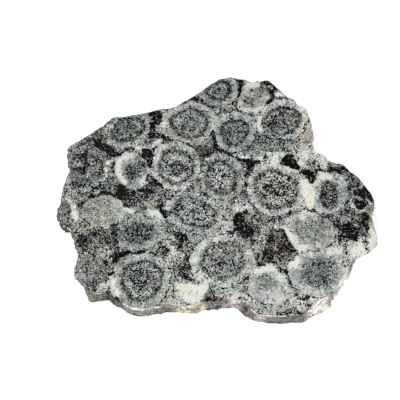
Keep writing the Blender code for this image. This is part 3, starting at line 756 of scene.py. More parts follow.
# Pale feldspar blots: cream, then the same strings of spots.
paleBlots = [
    (0.45, [(-16, -43.4, 1.4), (-13, -45.6, 3.6), (-9, -46.8, 3.6), (-6.4, -44.2, 2.2)]),
    (0.6, [(-12.5, -48.6, 2.4), (-9.8, -50, 1.6)]),
    (0.7, [(38.2, 4.6, 1.7), (39.4, 1.2, 2.6), (40.4, -3, 2.7), (41.2, -6.2, 1.6)]),
    (0.1, [(-28.6, -10.4, 1.7), (-26.2, -10.6, 2), (-24, -12.8, 0.5), (-21.8, -13.2, 0.3)]),
    (0.6, [(61.4, -25.4, 1.6), (61, -27.4, 2.4), (58.8, -29.2, 1.8)]),
    (0.5, [(67, -17, 1.1), (67.5, -21, 1.5), (66.6, -25, 1.5)]),
    (0.4, [(26, 17.4, 1.2), (25.6, 15, 1.6), (24.4, 13.2, 1.3)]),
    (0.4, [(28.6, 17.8, 0.8)]),
    (0.4, [(23, 18.2, 1)]),
    (0.4, [(19, 15.8, 0.9)]),
    (0.5, [(33.6, -33.6, 2), (32, -34.6, 1.4), (34.6, -32, 1.4)]),
    (0.3, [(17, -37, 1.3), (20, -35.8, 1.6), (24, -35.4, 1.5)]),
    (0.1, [(7.6, -7.8, 0.9), (10, -8.8, 1.5), (12.6, -8.2, 0.9)]),
    (1, [(11, 16.5, 0.8), (13, 16.1, 0.8)]),
    (0.55, [(45.4, 8.4, 1.5), (47.6, 7.2, 1.5), (50.4, 6.5, 0.8)]),
    (0.4, [(46.8, 16, 1.1)]),
    (0.4, [(39, 16.6, 1.4), (38.2, 19, 1)]),
    (0.2, [(-66, -3.2, 0.4), (-64.2, -5, 0.8), (-62.8, -7.4, 1.2), (-62.2, -10, 1.3), (-61.6, -12.8, 1.1)]),
    (0.2, [(-49, 13.6, 0.8), (-47.4, 14.6, 1)]),
    (0.3, [(-49.2, 11, 0.9), (-49, 8.4, 0.7)]),
    (0.1, [(10, 42.2, 0.5), (11, 43.6, 0.5)]),
    (0.1, [(5, -49, 0.5), (7.6, -48.4, 0.7), (9.6, -47.4, 0.7)]),
    (0.1, [(10.6, 40, 0.4), (13, 39.6, 0.7), (17, 39.4, 0.7), (21, 40.2, 0.6)]),
    (0.7, [(27.4, 47.4, 0.9), (29, 47.4, 1.4), (30.6, 46.8, 0.9)]),
    (0.3, [(15, 52.2, 1.1), (18, 51.8, 1.1)]),
    (0.3, [(-19, -26.4, 0.8), (-18.4, -28, 0.9)]),
    (0.3, [(-44.6, -40, 0.7), (-44, -44, 1.1), (-42.8, -47, 0.8)]),
    (0.1, [(-29.8, 20.8, 0.7), (-27.6, 22.4, 0.7), (-25.2, 24.7, 0.8)]),
    (0.3, [(-30.6, 20.4, 0.5), (-33, 20.3, 1), (-36, 20.8, 0.9)]),
    (0.2, [(19.6, 35.4, 0.9), (18.8, 31.4, 1), (19.8, 29.4, 0.8)]),
    (0.1, [(-5, 14, 0.1), (-4.6, 15.4, 0.9)]),
    (0.3, [(-38.6, 17, 1.1), (-41.6, 16, 1), (-43.6, 13, 1.2), (-44, 10.4, 1.3), (-42.6, 6.4, 1.1),
           (-40.6, 3.8, 1)]),
    (0.2, [(-33, 4, 0.9), (-31.6, 6, 0.8)]),
    (0.1, [(-23.8, 32.4, 1.2)]),
    (0.3, [(40.6, 38.6, 0.8), (38.4, 41.4, 0.9)]),
    (0.1, [(-23.4, -8, 0.1), (-21.4, -7.4, 0.9)]),
    (0.2, [(30, -9, 0.8)]),
    (0.3, [(35.6, -26.4, 1.4), (39, -26.2, 0.9)]),
    (0.1, [(29.6, -17.6, 0.9), (31.4, -20.2, 1.4), (33.4, -23.6, 1.7)]),
    (0.2, [(25.8, -16.8, 1)]),
    (0.1, [(-39.6, -8.9, 1.1), (-37.2, -9.8, 1)]),
    (0.1, [(58.6, -4, 0.5), (59, -6.6, 0.6), (61, -8.9, 0.5), (63.4, -9, 0.4)]),
    (0.5, [(66.6, -5, 0.8)]),
    (0.3, [(37.2, 13.6, 1.2)]),
    (0.2, [(48.6, -28.4, 1.5), (50.4, -28.2, 1.5)]),
    (0.3, [(37.4, -12, 1.2)]),
    (0, [(22.6, 45.4, 0.7)]),
    (0, [(24.4, 50.8, 0.4)]),
]

# Tints of the pale grains: x, y, reach, and how much red, green and blue they keep.
tints = [
    (-52.5, 29.5, 3, (1, 0.93, 0.74)), (-63, -2, 3, (1, 0.97, 0.84)),
    (-57, -16.5, 4.4, (0.95, 0.92, 0.78)), (-35, 22.5, 2.4, (0.98, 0.98, 0.9)),
    (-30, -6, 2.6, (1, 0.96, 0.82)), (-54, -35, 7, (1, 0.98, 0.93)),
    (-22, -48, 2.6, (0.93, 0.93, 0.74)), (1.4, -16, 1.8, (1, 0.98, 0.84)),
    (-8.8, 3.8, 2.4, (0.8, 0.68, 0.62)), (39.8, 27, 4.6, (1, 0.88, 0.8)), (-50, -9, 7, (1, 1, 0.93)),
    (-2.6, -48, 2.6, (0.92, 0.88, 0.72)), (20, 46.5, 6, (1, 0.94, 0.9)), (25, -26, 5, (1, 0.9, 0.86)),
    (-5.5, 20.5, 3, (0.95, 0.84, 0.77)), (27, 23.5, 6, (0.88, 0.96, 0.93)),
    (16, 25, 5, (0.87, 0.94, 0.93)), (-30, -19, 9, (0.9, 0.98, 0.93)), (-1, -16, 3, (0.93, 1, 0.95)),
    (3, -43, 6, (0.93, 1, 0.94)), (-9, -9.6, 8, (0.94, 0.97, 0.99)), (8, 28, 6, (0.9, 0.95, 0.98)),
    (-40, 28, 7, (0.92, 0.98, 0.97)), (0, 10, 5, (0.92, 0.97, 0.95)),
    (31, -38.5, 3.4, (0.86, 0.95, 0.95)), (47, -45, 5, (0.92, 0.98, 0.97)),
    (-36, 16.5, 5, (1, 0.98, 0.96)), (-32, 13.4, 2.6, (0.93, 0.93, 1)), (-53, -1, 2.6, (0.96, 0.94, 1)),
    (40.5, -1, 5, (1, 0.99, 0.92)), (-12, -45.5, 6, (1, 1, 0.93)), (60.5, -27.5, 4.4, (1, 1, 0.92)),
    (66.6, -9.4, 2.2, (1, 0.74, 0.55)), (49, -24, 4, (1, 0.96, 0.93)),
]

# Speckled rock between the orbicules: x, y, reach, how light it looks, share of dark grains.
matrixSpots = [
    (27, 22.5, 6.5, 116, 0.44), (18.4, 25, 4, 102, 0.46), (-62, 23, 3.4, 146, 0.24),
    (-60, 0, 4, 124, 0.38), (-49, 3, 3.4, 112, 0.42), (-24, -3, 5, 102, 0.5), (2, -17, 5, 156, 0.25),
    (-20, -26, 4, 152, 0.3), (-52, -26, 6, 108, 0.46), (-17, -31, 4, 152, 0.3), (3, -44.5, 5, 162, 0.2),
    (21, -13, 5, 134, 0.36), (56, -12, 5, 108, 0.48), (60, 5, 4, 104, 0.5), (35.4, -50, 3, 140, 0.34),
    (50, -28, 4, 194, 0.12), (-28, 25, 3, 94, 0.5), (0, 41, 3.5, 126, 0.38), (-57, -16.4, 4, 114, 0.4),
    (-22, -48, 4, 142, 0.23), (17.6, -24.6, 3.4, 152, 0.3), (-47.5, -43, 3.4, 178, 0.16),
    (41, 13, 3.5, 142, 0.36), (63, -18, 3, 92, 0.55), (39, 22, 3, 158, 0.18), (-47, 20, 3, 92, 0.5),
    (-31, 8, 3, 146, 0.32), (-36, -4, 3.5, 84, 0.58), (-46, -3, 3, 140, 0.34), (-62, -6, 3, 146, 0.28),
    (-64, -14, 3, 132, 0.38), (-44, -26, 3, 96, 0.5), (-20, -16, 4, 128, 0.38),
    (-33, -30, 3, 152, 0.28), (-48, -38, 2.5, 136, 0.35), (-17, -46, 3, 184, 0.12),
    (12, -8, 3, 166, 0.22), (12, -26, 4, 148, 0.3), (10, 38, 3, 152, 0.25), (-2, 20, 3, 72, 0.62),
    (-6, 18, 3, 84, 0.55), (-30, 1, 3, 68, 0.62), (38, -9, 3, 174, 0.16), (31, -11, 3, 128, 0.38),
    (49, -14, 3.5, 112, 0.45), (53, -6, 3, 136, 0.36), (61, -25, 4, 186, 0.14), (57, -27, 4, 184, 0.14),
    (37, -28, 3, 206, 0.05), (30, -45, 3, 174, 0.14), (36, -44, 3, 182, 0.12), (52, -42, 4, 200, 0.07),
    (20, 12, 3, 190, 0.12), (24, 16, 3, 184, 0.12), (5, 16, 3, 130, 0.36), (-26, 17, 3, 170, 0.2),
    (-10, 20, 3, 122, 0.36), (22, 34, 3, 110, 0.42), (18, 39, 2.5, 190, 0.08), (-7, 46, 3, 100, 0.42),
    (44, 16, 3, 184, 0.16), (38.4, 18.6, 3, 184, 0.16), (47, 13.6, 2.4, 190, 0.12),
    (53.2, 12.8, 2.6, 100, 0.34), (-48, -28, 3, 178, 0.16), (22, -53, 5, 158, 0.11),
    (30.6, -49.6, 3, 164, 0.16), (31.6, -38.6, 2.6, 130, 0.26), (41, -50.4, 3, 184, 0.14),
    (-55, 5, 4, 150, 0.28), (-64, 3, 3, 158, 0.22), (44, -47, 3, 180, 0.14), (54, -37, 3, 200, 0.08),
    (40.4, 29, 3, 168, 0.05), (39.6, 25, 3, 166, 0.05), (40.6, 35, 3, 180, 0.08),
]
matrixPlain = (132, 0.34)

# Wider patches that are lighter (+) or darker (-) than all that gives: x, y, reach, change.
toneSpots = [
    (-7, -26, 2.2, 26), (-9.6, -32, 2, 22), (0, -21.5, 2.2, 18), (-58, -23, 3.6, -46), (57, -2, 5, -38),
    (-42, -15, 6.5, -27), (0, -13, 3.6, 45), (40, -9, 2.6, 69), (35, -51, 2.6, 40), (27, 10, 2.6, 44),
    (-45, 2, 6.5, -27), (-57, 23, 6.5, -31), (-41, -32, 2.6, -42), (13, -49, 2.6, 44),
    (14, 20, 2.6, -45), (-58, -6, 3.6, -37), (-62, 13, 2.6, 39), (-56, 11, 2.6, -36),
    (-39, -19, 2.6, 40), (24, -38, 3.6, 32), (51, -38, 3.6, 32), (14, -24, 3.6, -32),
    (-15, -26, 3.6, -31), (-16, 5, 5, 25), (59, -24, 2.6, -39), (-53, -45, 3.6, -30),
    (31, 36, 3.6, -30), (20, 50, 3.6, -34), (-48, -19, 2.6, -35), (47, -15, 2.6, -37),
    (7, -49, 2.6, 37), (-57, -19, 2.6, 33), (-24, -11, 3.6, -27), (39, 6, 2.6, -70), (-63, 3, 2.6, -32),
    (27, -49, 2.6, 34), (37, -24, 3.6, 26), (-32, 23, 3.6, -25), (-66, -13, 3.6, 27),
    (31, -29, 2.6, -25), (-36, 27, 2.6, 34), (13, -2, 2.6, -32), (-10, 19, 3.6, -26), (6, 23, 2.6, 29),
    (22, -44, 2.6, -32), (0, -23, 3.6, 24), (-34, -38, 2.6, -30), (64, -9, 3.6, -22),
    (-21, 28, 2.6, -29), (25, 19, 2.6, -31), (-58, -37, 2.6, 28), (25, -22, 2.6, -29),
    (9, -20, 3.6, -24), (-18, -51, 2.6, 31), (-40, 11, 2.6, 28), (-21, -5, 2.6, 30),
    (-45, -10, 2.6, 29), (-40, 3, 3.6, -22), (52, -8, 2.6, 27), (-5, 15, 2.6, -26), (33, 18, 2.6, 24),
    (32, 4, 2.6, -27), (-26, 5, 2.6, 24), (-49, 30, 5, -19), (-35, -48, 2.6, 22), (-34, 14, 3.6, 16),
    (44, 3, 3.6, 17), (0, 11, 2.6, 20), (-29, 32, 2.6, 15),
]

fieldForm = {
    "farthest": 4.0,  # distances are kept to this much
    "belly": 1.3,  # an orbicule is this much taller than wide
    "slowWarp": (7.0, 0.55, 31),  # cell, reach and seed of the wobble in every outline
    "quickWarp": (2.4, 0.28, 41),
    "coreFade": (1.25, 0.55),  # a core fades out between these shares of its ellipse
    "ringSpread": 0.14,  # a ring is this much weaker on its weakest side
    "spokeStep": 0.37,  # keeps each orbicule's spokes unlike the next one's
    "darkGrain": 64,  # how light a dark grain looks, 0 to 255
    "paleTones": (112, 225),  # and the grey and the white grains
    "whiteLimits": (-0.3, 1.2),
    "matrixPepper": 1.15,  # dark grains between the orbicules, as a multiple of what is listed
    "toneSpecks": 0.0035,  # dark grains added for each step that a patch is darker
    "speckLimits": (0.02, 0.92),
    "lean": 4.5,  # how far blots wander sideways down through the slab
    "leanCell": 17.0,
    "leanSeeds": (51, 52),
}


# The places moved a little by three drifts at right angles.
def warped(spots, cell, reach, seed):
    return spots + reach * np.stack([drift(spots, cell, seed + i) for i in range(3)], axis=-1)


# The value at an angle of a row of values spaced evenly all the way round.
def roundValue(values, angle):
    step = (angle / (2 * np.pi) % 1) * len(values)
    low = np.floor(step).astype(int) % len(values)
    ease = smoothStep(0, 1, step % 1)
    values = np.array(values, float)
    return values[low] * (1 - ease) + values[(low + 1) % len(values)] * ease


# Distance in shares of an ellipsoid: 1 on its skin. At the face it is the ellipse given, and
# deeper down it grows or shrinks as the ball's centre lies below or above the face. A buried
# ball has that ellipse round its own middle instead, and needn't reach the face.
def ballShare(spots, ellipse, tilt, depth, buried=False, wave=()):
    x, y, halfLength, halfWidth = ellipse
    across, up = spots[:, 0] - x, spots[:, 1] - y
    cos, sin = np.cos(np.radians(tilt)), np.sin(np.radians(tilt))
    along, aside = (across * cos + up * sin) / halfLength, (up * cos - across * sin) / halfWidth
    flat = along**2 + aside**2
    below = spots[:, 2] - slabForm["thickness"]
    tall = (fieldForm["belly"] * (halfLength * halfWidth) ** 0.5) ** 2
    rise = (below - depth) ** 2 if buried else below * (below - 2 * depth)
    share = np.sqrt(np.maximum(flat + rise / tall, 0))
    return share * 100 / roundValue(wave, np.arctan2(aside, along)) if wave else share


# How far inside a string of round spots each place lies, in millimetres: the nearest point
# of the string's middle line, less that line's half width there, with the sign turned.
def insideString(spots, string):
    best = np.full(len(spots), -np.inf)
    links = list(zip(string, string[1:])) or [(string[0], string[0])]
    for (ax, ay, aWide), (bx, by, bWide) in links:
        along = np.array([bx - ax, by - ay], float)
        length = max(along @ along, 1e-9)
        apart = spots[:, :2] - (ax, ay)
        t = np.clip(apart @ along / length, 0, 1)
        far = np.linalg.norm(apart - t[:, None] * along, axis=1)
        best = np.maximum(best, aWide + (bWide - aWide) * t - far)
    return best


# How far inside the deepest of many strings each place lies, then that string's own values.
def deepest(spots, strings, plain):
    far = fieldForm["farthest"]
    found = np.tile((-far, *plain), (len(spots), 1)).astype(float)
    for *own, string in strings:
        inside = insideString(spots, string)
        mine = inside > found[:, 0]
        found[mine, 0] = inside[mine]
        found[mine, 1:] = own
    found[:, 0] = np.clip(found[:, 0], -far, far)
    return found


# A bell: 1 at its middle, and falling off with the square of the distance over its reach.
def bell(spots, x, y, reach):
    return np.exp(-((spots[:, 0] - x) ** 2 + (spots[:, 1] - y) ** 2) / reach**2)


# A value that slides between many anchors: each anchor weighs as a bell of its distance, and
# the plain value weighs what is left.
def anchored(spots, anchors, plain):
    plain = np.atleast_1d(np.array(plain, float))
    total = np.zeros((len(spots), len(plain)))
    weight = np.zeros(len(spots))
    for x, y, reach, value in anchors:
        near = bell(spots, x, y, reach)
        total += near[:, None] * np.atleast_1d(np.array(value, float))
        weight += near
    left = np.maximum(1 - weight, 0)
    return (total + left[:, None] * plain) / (weight + left)[:, None]


# How white the pale grains must be, from grey (0) to white (1), so that with that share of
# dark grains among them the rock looks as light as it should.
def paleWhiteness(light, specks):
    pale = (light - specks * fieldForm["darkGrain"]) / (1 - specks)
    grey, white = (linear(tone) for tone in fieldForm["paleTones"])
    share = (linear(pale) - grey) / (white - grey)
    return np.clip(share, *fieldForm["whiteLimits"])


# Every field of the pattern at every place. Distances are in millimetres, so that the shader
# can draw each line at its real width.
def patternFields(spots):
    spots = warped(warped(spots, *fieldForm["slowWarp"]), *fieldForm["quickWarp"])
    far = fieldForm["farthest"]
    count = len(spots)
    edge = np.full(count, -far)
    ring = np.full(count, far)
    ringDark = np.zeros(count)
    light, specks, spoke = (np.zeros((count, 3)) for _ in range(3))
    for number, form in enumerate(orbicules.values()):
        tilt = form.get("tilt", 0)
        sunk = form["depth"], form.get("buried", False)
        share = ballShare(spots, form["edge"], tilt, *sunk, form.get("edgeWave", ()))
        inside = (1 - share) * (form["edge"][2] * form["edge"][3]) ** 0.5
        mine = inside > edge
        ringShare = ballShare(spots, form["ring"], tilt, *sunk, form.get("ringWave", ()))
        ringMean = (form["ring"][2] * form["ring"][3]) ** 0.5
        coreShare = ballShare(spots, form["core"], tilt, *sunk)
        across, up = spots[:, 0] - form["ring"][0], spots[:, 1] - form["ring"][1]
        angle = np.arctan2(up, across)
        facing = np.cos(angle - np.radians(form["side"]))
        spread = form.get("spread", fieldForm["ringSpread"])
        strength = form["dark"] * (1 - spread * (0.5 - 0.5 * facing))
        core = smoothStep(*fieldForm["coreFade"], coreShare)
        edge = np.where(mine, np.clip(inside, -far, far), edge)
        ring = np.where(mine, np.clip((ringShare - 1) * ringMean, -far, far), ring)
        ringDark = np.where(mine, strength, ringDark)
        for values, zones in ((light, form["light"]), (specks, form["specks"])):
            values[mine, 0] = (zones[1] + (zones[0] - zones[1]) * core)[mine]
            values[mine, 1] = zones[2]
        turn = np.full(count, fieldForm["spokeStep"] * number)
        away = np.stack([np.cos(angle), np.sin(angle), turn], axis=-1)
        spoke = np.where(mine[:, None], away * ringMean, spoke)
    matrix = anchored(spots, [(x, y, reach, values) for x, y, reach, *values in matrixSpots], matrixPlain)
    light[:, 2], specks[:, 2] = matrix[:, 0], fieldForm["matrixPepper"] * matrix[:, 1]
    tone = sum(change * bell(spots, x, y, reach) for x, y, reach, change in toneSpots)[:, None]
    light = light + tone
    specks = np.clip(specks - fieldForm["toneSpecks"] * tone, *fieldForm["speckLimits"])

    depth = (slabForm["thickness"] - spots[:, 2]) / slabForm["thickness"]
    lean = np.stack([drift(spots, fieldForm["leanCell"], seed) for seed in fieldForm["leanSeeds"]], axis=-1)
    leaning = spots.copy()
    leaning[:, :2] += fieldForm["lean"] * depth[:, None] * lean
    return {
        "rings": np.stack([edge, ring, ringDark], axis=-1),
        "shares": specks,
        "whites": paleWhiteness(light, specks),
        "spoke": spoke,
        "blots": deepest(leaning, darkBlots, (0.9, 0)),
        "pales": np.column_stack([deepest(leaning, paleBlots, (0,)), np.zeros(count)]),
        "tint": anchored(spots, tints, (1, 1, 1)),
    }


# Weathered coat on the broken edge: x, y, reach, colour as seen (0 to 255), how much it hides.
coatSpots = [
    (-51.5, -48, 3, (153, 145, 116), 0.65), (-47, -47.4, 1.8, (62, 50, 48), 0.7),
    (-44.2, -49.2, 2.2, (80, 60, 60), 0.75), (-36, -54, 4.4, (160, 151, 150), 0.75),
    (-30, -54, 4, (164, 155, 152), 0.75), (-22.5, -52.4, 2.6, (134, 116, 110), 0.5),
    (-13.5, -52.6, 4.4, (212, 206, 186), 0.7), (-6.5, -51.8, 2.4, (226, 210, 173), 0.7),
    (-3.4, -51.4, 1.6, (116, 108, 95), 0.7), (1, -51, 3.2, (182, 171, 164), 0.6),
    (6.6, -51, 3.2, (217, 204, 197), 0.7), (11.8, -52.6, 1.3, (66, 52, 44), 0.8),
    (9.4, -51.8, 1.5, (196, 184, 176), 0.7), (14.6, -55.2, 1.6, (112, 95, 86), 0.65),
    (18.6, -56.8, 2.6, (186, 171, 163), 0.65), (26, -57, 4.4, (112, 105, 107), 0.6),
    (34, -57, 3.4, (150, 142, 140), 0.6), (40, -53.6, 2.6, (238, 228, 222), 0.7),
    (45.5, -50.5, 4.4, (250, 244, 232), 0.85), (53.4, -41, 4.6, (250, 246, 242), 0.85),
    (57.6, -33.4, 1.6, (143, 127, 119), 0.5), (63, -30, 4, (250, 250, 243), 0.75),
    (68.6, -21, 5, (250, 249, 238), 0.7), (67.6, -10, 2.4, (204, 186, 172), 0.5),
    (68.4, -3, 3, (70, 62, 58), 0.3), (60, 9, 6, (96, 92, 88), 0.35),
    (48, 17, 4.4, (197, 197, 197), 0.75), (43.4, 28, 8, (208, 206, 197), 0.7),
    (36, 43, 5, (217, 214, 201), 0.6), (26, 52, 3.6, (123, 119, 116), 0.4),
    (18, 54, 4, (206, 197, 184), 0.6), (6, 56, 5, (164, 166, 162), 0.7),
    (-8, 48, 5, (125, 125, 123), 0.35), (-22, 41, 6, (166, 166, 162), 0.35),
    (-40, 36.8, 6, (151, 153, 149), 0.3), (-55, 29, 6, (143, 136, 121), 0.3),
    (-66, 18, 6, (147, 147, 145), 0.25), (-67, 5, 6, (156, 153, 147), 0.25),
    (-69, -10, 4.4, (76, 80, 80), 0.35), (-65.4, -18, 3, (40, 36, 32), 0.85),
    # The near-black patch at (-65.4, -18) is painted shade on the shadowed strip of wall at that corner.
    (-61, -28, 5, (125, 123, 119), 0.3), (-61.4, -36, 2.6, (166, 166, 164), 0.35),
    (-58, -42, 3.6, (138, 138, 134), 0.3),
]
coatPlain = (140, 136, 130)
edgeForm = {
    "plainHides": 0.6,
    "swayCell": 5,  # the patches wander sideways by this reach at the foot, less higher up
    "swayReach": 3,
    "swaySeeds": (31, 32),
    "highlightRows": (0, 0.5, 1, 0),  # how strong the painted highlight can be on the wall's last row and the arris's rows
    "footShadowHeights": (5.6, 3.0),  # heights between which the painted shadow at the foot fades in
}

# Stretches of the arris given a painted white highlight: x, y and reach, strength.
arrisHighlights = [
    (-39, -51.8, 2.4, 0.9), (-35, -53.6, 3, 1), (-30.5, -53.4, 3, 1), (-25.5, -52.6, 2, 0.9),
    (-17.5, -51.6, 3, 0.8), (-11, -52, 3, 0.7), (-5, -50.8, 2.4, 0.4), (15, -54.6, 2, 1),
    (18, -55.8, 2.6, 1), (23, -56.4, 3, 0.9), (27, -56.4, 2.4, 0.9), (32, -56, 2.6, 0.8),
    (-51, -46.6, 1.8, 0.8), (2, -49.8, 3, 0.35),
]

# Stretches of the foot darkened by painted shadow: x, y and reach, strength.
footShadows = [
    (-34, -54, 5, 1), (-23.5, -52.4, 3, 0.8), (-3, -51, 4, 0.8), (24, -57, 5, 1), (32, -56.4, 4.4, 1),
    (-49, -47, 4.4, 0.7), (14, -54.6, 2, 0.6), (-65, -18.5, 3, 1),
]


# The greatest strength of a list of stretches at each place, each falling off as a steep bell.
def stretches(spots, marks):
    strongest = np.zeros(len(spots))
    for x, y, reach, strength in marks:
        far = np.hypot(spots[:, 0] - x, spots[:, 1] - y) / reach
        strongest = np.maximum(strongest, strength * np.exp(-(far**4)))
    return strongest


# The coat's colour and strength, and one mark that is positive where a painted highlight lies on
# the arris and negative where painted shadow lies at the foot. All three live only on the wall and the
# arris.
def edgeFields(spots, onEdge, nearArris, nearFoot):
    anchors = [(x, y, reach, (*linear(colour), hides)) for x, y, reach, colour, hides in coatSpots]
    sway = np.column_stack([drift(spots, edgeForm["swayCell"], seed) for seed in edgeForm["swaySeeds"]])
    sway = edgeForm["swayReach"] * sway * (1 - spots[:, 2:] / slabForm["thickness"])
    swayed = np.column_stack([spots[:, :2] + sway, spots[:, 2]])
    coat = anchored(swayed, anchors, (*linear(coatPlain), edgeForm["plainHides"]))
    coat[:, 3] *= onEdge
    return coat, stretches(spots, arrisHighlights) * nearArris - stretches(spots, footShadows) * nearFoot


rows, columns = grid.shape[:2]
rowNumber = np.append(np.repeat(np.arange(rows), columns), [0, rows - 1])
onEdge = ((rowNumber > rowMarks["foot"]) & (rowNumber < rowMarks["face"])).astype(float)
# Where the painted highlight on the arris and the painted shadow low on the wall may lie
arrisStart = rowMarks["face"] - slabForm["arrisRows"]
nearArris = np.interp(rowNumber - arrisStart, range(slabForm["arrisRows"] + 1), edgeForm["highlightRows"])
nearFoot = smoothStep(*edgeForm["footShadowHeights"], places[:, 2]) * (rowNumber >= rowMarks["foot"])
fields = patternFields(places)
coat, paintedLightMark = edgeFields(places, onEdge, nearArris, nearFoot)
print("pattern fields worked out")

bakeLayout = {  # the slab's own UV map, in pixels of a square image, before it is scaled to 0..1
    "image": 1024.0,
    "faceScale": 5.8,  # pixels a millimetre
    "backScale": 1.6,
    "margin": 6.0,
    "strips": 3,  # the wall is laid out in this many strips
}


# Where each face corner goes on the bake's image: the face flat, the wall unrolled by its
# length round the slab and its length up the section, and the underside flat, turned.
def bakePlaces(rowOf, columnOf, region):
    scale, margin = bakeLayout["faceScale"], bakeLayout["margin"]
    low = grid[..., :2].min(axis=(0, 1))
    high = grid[..., :2].max(axis=(0, 1))
    flat = np.concatenate([grid[..., :2], np.zeros((1, columns, 2))])[rowOf, columnOf % columns]
    onFace = (flat - low) * scale + margin
    onBack = (flat - low)[:, ::-1] * bakeLayout["backScale"]
    onBack += (high[0] - low[0]) * scale + 2 * margin, margin
    wall = grid[rowMarks["foot"]:rowMarks["face"] + 1]
    middleRow = grid[(rowMarks["foot"] + rowMarks["face"]) // 2]
    closed = np.vstack([middleRow, middleRow[:1]])
    walked = np.append(0, np.cumsum(np.linalg.norm(np.diff(closed[:, :2], axis=0), axis=1)))
    climb = np.abs(np.diff(wall.mean(axis=1)[:, 2]))
    steps = np.linalg.norm(np.diff(wall, axis=0), axis=2).mean(axis=1)
    up = np.append(0, np.cumsum(np.maximum(steps, climb)))
    perStrip = columns // bakeLayout["strips"]
    strip = np.minimum(region["column"] // perStrip, bakeLayout["strips"] - 1)
    rise = up[np.clip(rowOf - rowMarks["foot"], 0, len(up) - 1)]
    start = (high[1] - low[1]) * scale + 2 * margin
    onWall = np.column_stack([
        (walked[columnOf] - walked[strip * perStrip]) * scale + margin,
        start + strip * (up[-1] * scale + margin) + rise * scale,
    ])
    where = np.choose(region["part"][:, None], [onFace, onWall, onBack])
    return where / bakeLayout["image"]


# The grid's faces: four corners each, and a fan of three-cornered ones round each pole.
def slabFaces():
    i, j = (item.ravel() for item in np.meshgrid(np.arange(rows - 1), np.arange(columns), indexing="ij"))
    quadRows = np.stack([i, i + 1, i + 1, i], axis=1)
    quadColumns = np.stack([j, j, j + 1, j + 1], axis=1)
    quads = quadRows * columns + quadColumns % columns
    k = np.arange(columns)
    backPole, facePole = rows * columns, rows * columns + 1
    backFan = np.stack([np.full(columns, backPole), k, (k + 1) % columns], axis=1)
    last = (rows - 1) * columns
    faceFan = np.stack([last + k, np.full(columns, facePole), last + (k + 1) % columns], axis=1)
    faces = quads.tolist() + backFan.tolist() + faceFan.tolist()
    part = np.where(i >= rowMarks["face"], 0, np.where(i >= rowMarks["foot"], 1, 2))
    part = np.concatenate([part, np.full(columns, 2), np.full(columns, 0)])
    pole = np.full(columns, rows)
    rowOf = np.concatenate([
        quadRows.ravel(),
        np.stack([pole, 0 * k, 0 * k], axis=1).ravel(),
        np.stack([0 * k + rows - 1, pole, 0 * k + rows - 1], axis=1).ravel(),
    ])
    columnOf = np.concatenate([quadColumns.ravel(), np.stack([k, k, k + 1], axis=1).ravel(),
                               np.stack([k, k, k + 1], axis=1).ravel()])
    sides = np.concatenate([np.full(len(i), 4), np.full(2 * columns, 3)])
    first = np.concatenate([j, k, k])
    region = {"part": np.repeat(part, sides), "column": np.repeat(first, sides)}
    return faces, part, rowOf, columnOf, region


def makeSlab():
    faces, part, rowOf, columnOf, region = slabFaces()
    low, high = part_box("slab")
    wall = grid[rowMarks["foot"]:rowMarks["face"] + 1, :, :2]
    middle = (wall.min(axis=(0, 1)) + wall.max(axis=(0, 1))) / 2
    cadMiddle = (np.array(low[:2]) + np.array(high[:2])) / 2 / mm
    shift = np.append(cadMiddle - middle, 0)
    mesh = bpy.data.meshes.new("dioriteSlab")
    mesh.from_pydata(((places + shift) * mm).tolist(), [], faces)
    mesh.shade_smooth()
    mesh.set_sharp_from_angle(angle=np.radians(slabForm["creaseAngle"]))
    mesh.polygons.foreach_set("material_index", part.astype(np.int32))
    for name, values in fields.items():
        layer = mesh.attributes.new(name, "FLOAT_VECTOR", "POINT")
        layer.data.foreach_set("vector", values.astype(np.float32).ravel())
    layer = mesh.attributes.new("coat", "FLOAT_COLOR", "POINT")
    layer.data.foreach_set("color", coat.astype(np.float32).ravel())
    # Painted highlight on the arris (positive) and painted shadow at the foot (negative)
    layer = mesh.attributes.new("paintedLightMark", "FLOAT", "POINT")
    layer.data.foreach_set("value", paintedLightMark.astype(np.float32))
    layer = mesh.uv_layers.new(name="OFBake")
    layer.uv.foreach_set("vector", bakePlaces(rowOf, columnOf, region).astype(np.float32).ravel())
    mesh.update()
    slab = bpy.data.objects.new("dioriteSlab", mesh)
    bpy.context.scene.collection.objects.link(slab)
    return slab


slab = makeSlab()
print("slab mesh made:", len(slab.data.polygons), "faces")


# Node helpers. Each returns the socket that carries its result.
def feed(tree, socket, value):
    if isinstance(value, bpy.types.NodeSocket):
        tree.links.new(value, socket)
    else:
        socket.default_value = value


def worked(tree, kind, operation, values):
    node = tree.nodes.new(kind)
    if operation:
        node.operation = operation
    for socket, value in zip(node.inputs, values):
        feed(tree, socket, value)
    return node.outputs[0]


def maths(tree, operation, *values):
    return worked(tree, "ShaderNodeMath", operation, values)


def times(tree, *values):
    return maths(tree, "MULTIPLY", *values)


def plus(tree, *values):
    return maths(tree, "ADD", *values)


def minus(tree, *values):
    return maths(tree, "SUBTRACT", *values)


# The first two multiplied, and the third added.
def timesPlus(tree, *values):
    return maths(tree, "MULTIPLY_ADD", *values)


def vectorMaths(tree, operation, *values):
    return worked(tree, "ShaderNodeVectorMath", operation, values)


def combined(tree, *values):
    return worked(tree, "ShaderNodeCombineXYZ", None, values)


# Slides from start to end as the value goes from low to high.
def eased(tree, value, low, high, start=0.0, end=1.0):
    node = tree.nodes.new("ShaderNodeMapRange")
    node.interpolation_type = "SMOOTHSTEP"
    names = ("Value", "From Min", "From Max", "To Min", "To Max")
    for name, item in zip(names, (value, low, high, start, end)):
        feed(tree, node.inputs[name], item)
    return node.outputs[0]


def between(tree, share, first, second):
    node = tree.nodes.new("ShaderNodeMix")
    node.data_type = "FLOAT"
    feed(tree, node.inputs[0], share)
    feed(tree, node.inputs[2], first)
    feed(tree, node.inputs[3], second)
    return node.outputs[0]


def blended(tree, share, first, second, how="MIX"):
    node = tree.nodes.new("ShaderNodeMix")
    node.data_type = "RGBA"
    node.blend_type = how
    feed(tree, node.inputs[0], share)
    feed(tree, node.inputs[6], first)
    feed(tree, node.inputs[7], second)
    return node.outputs[2]


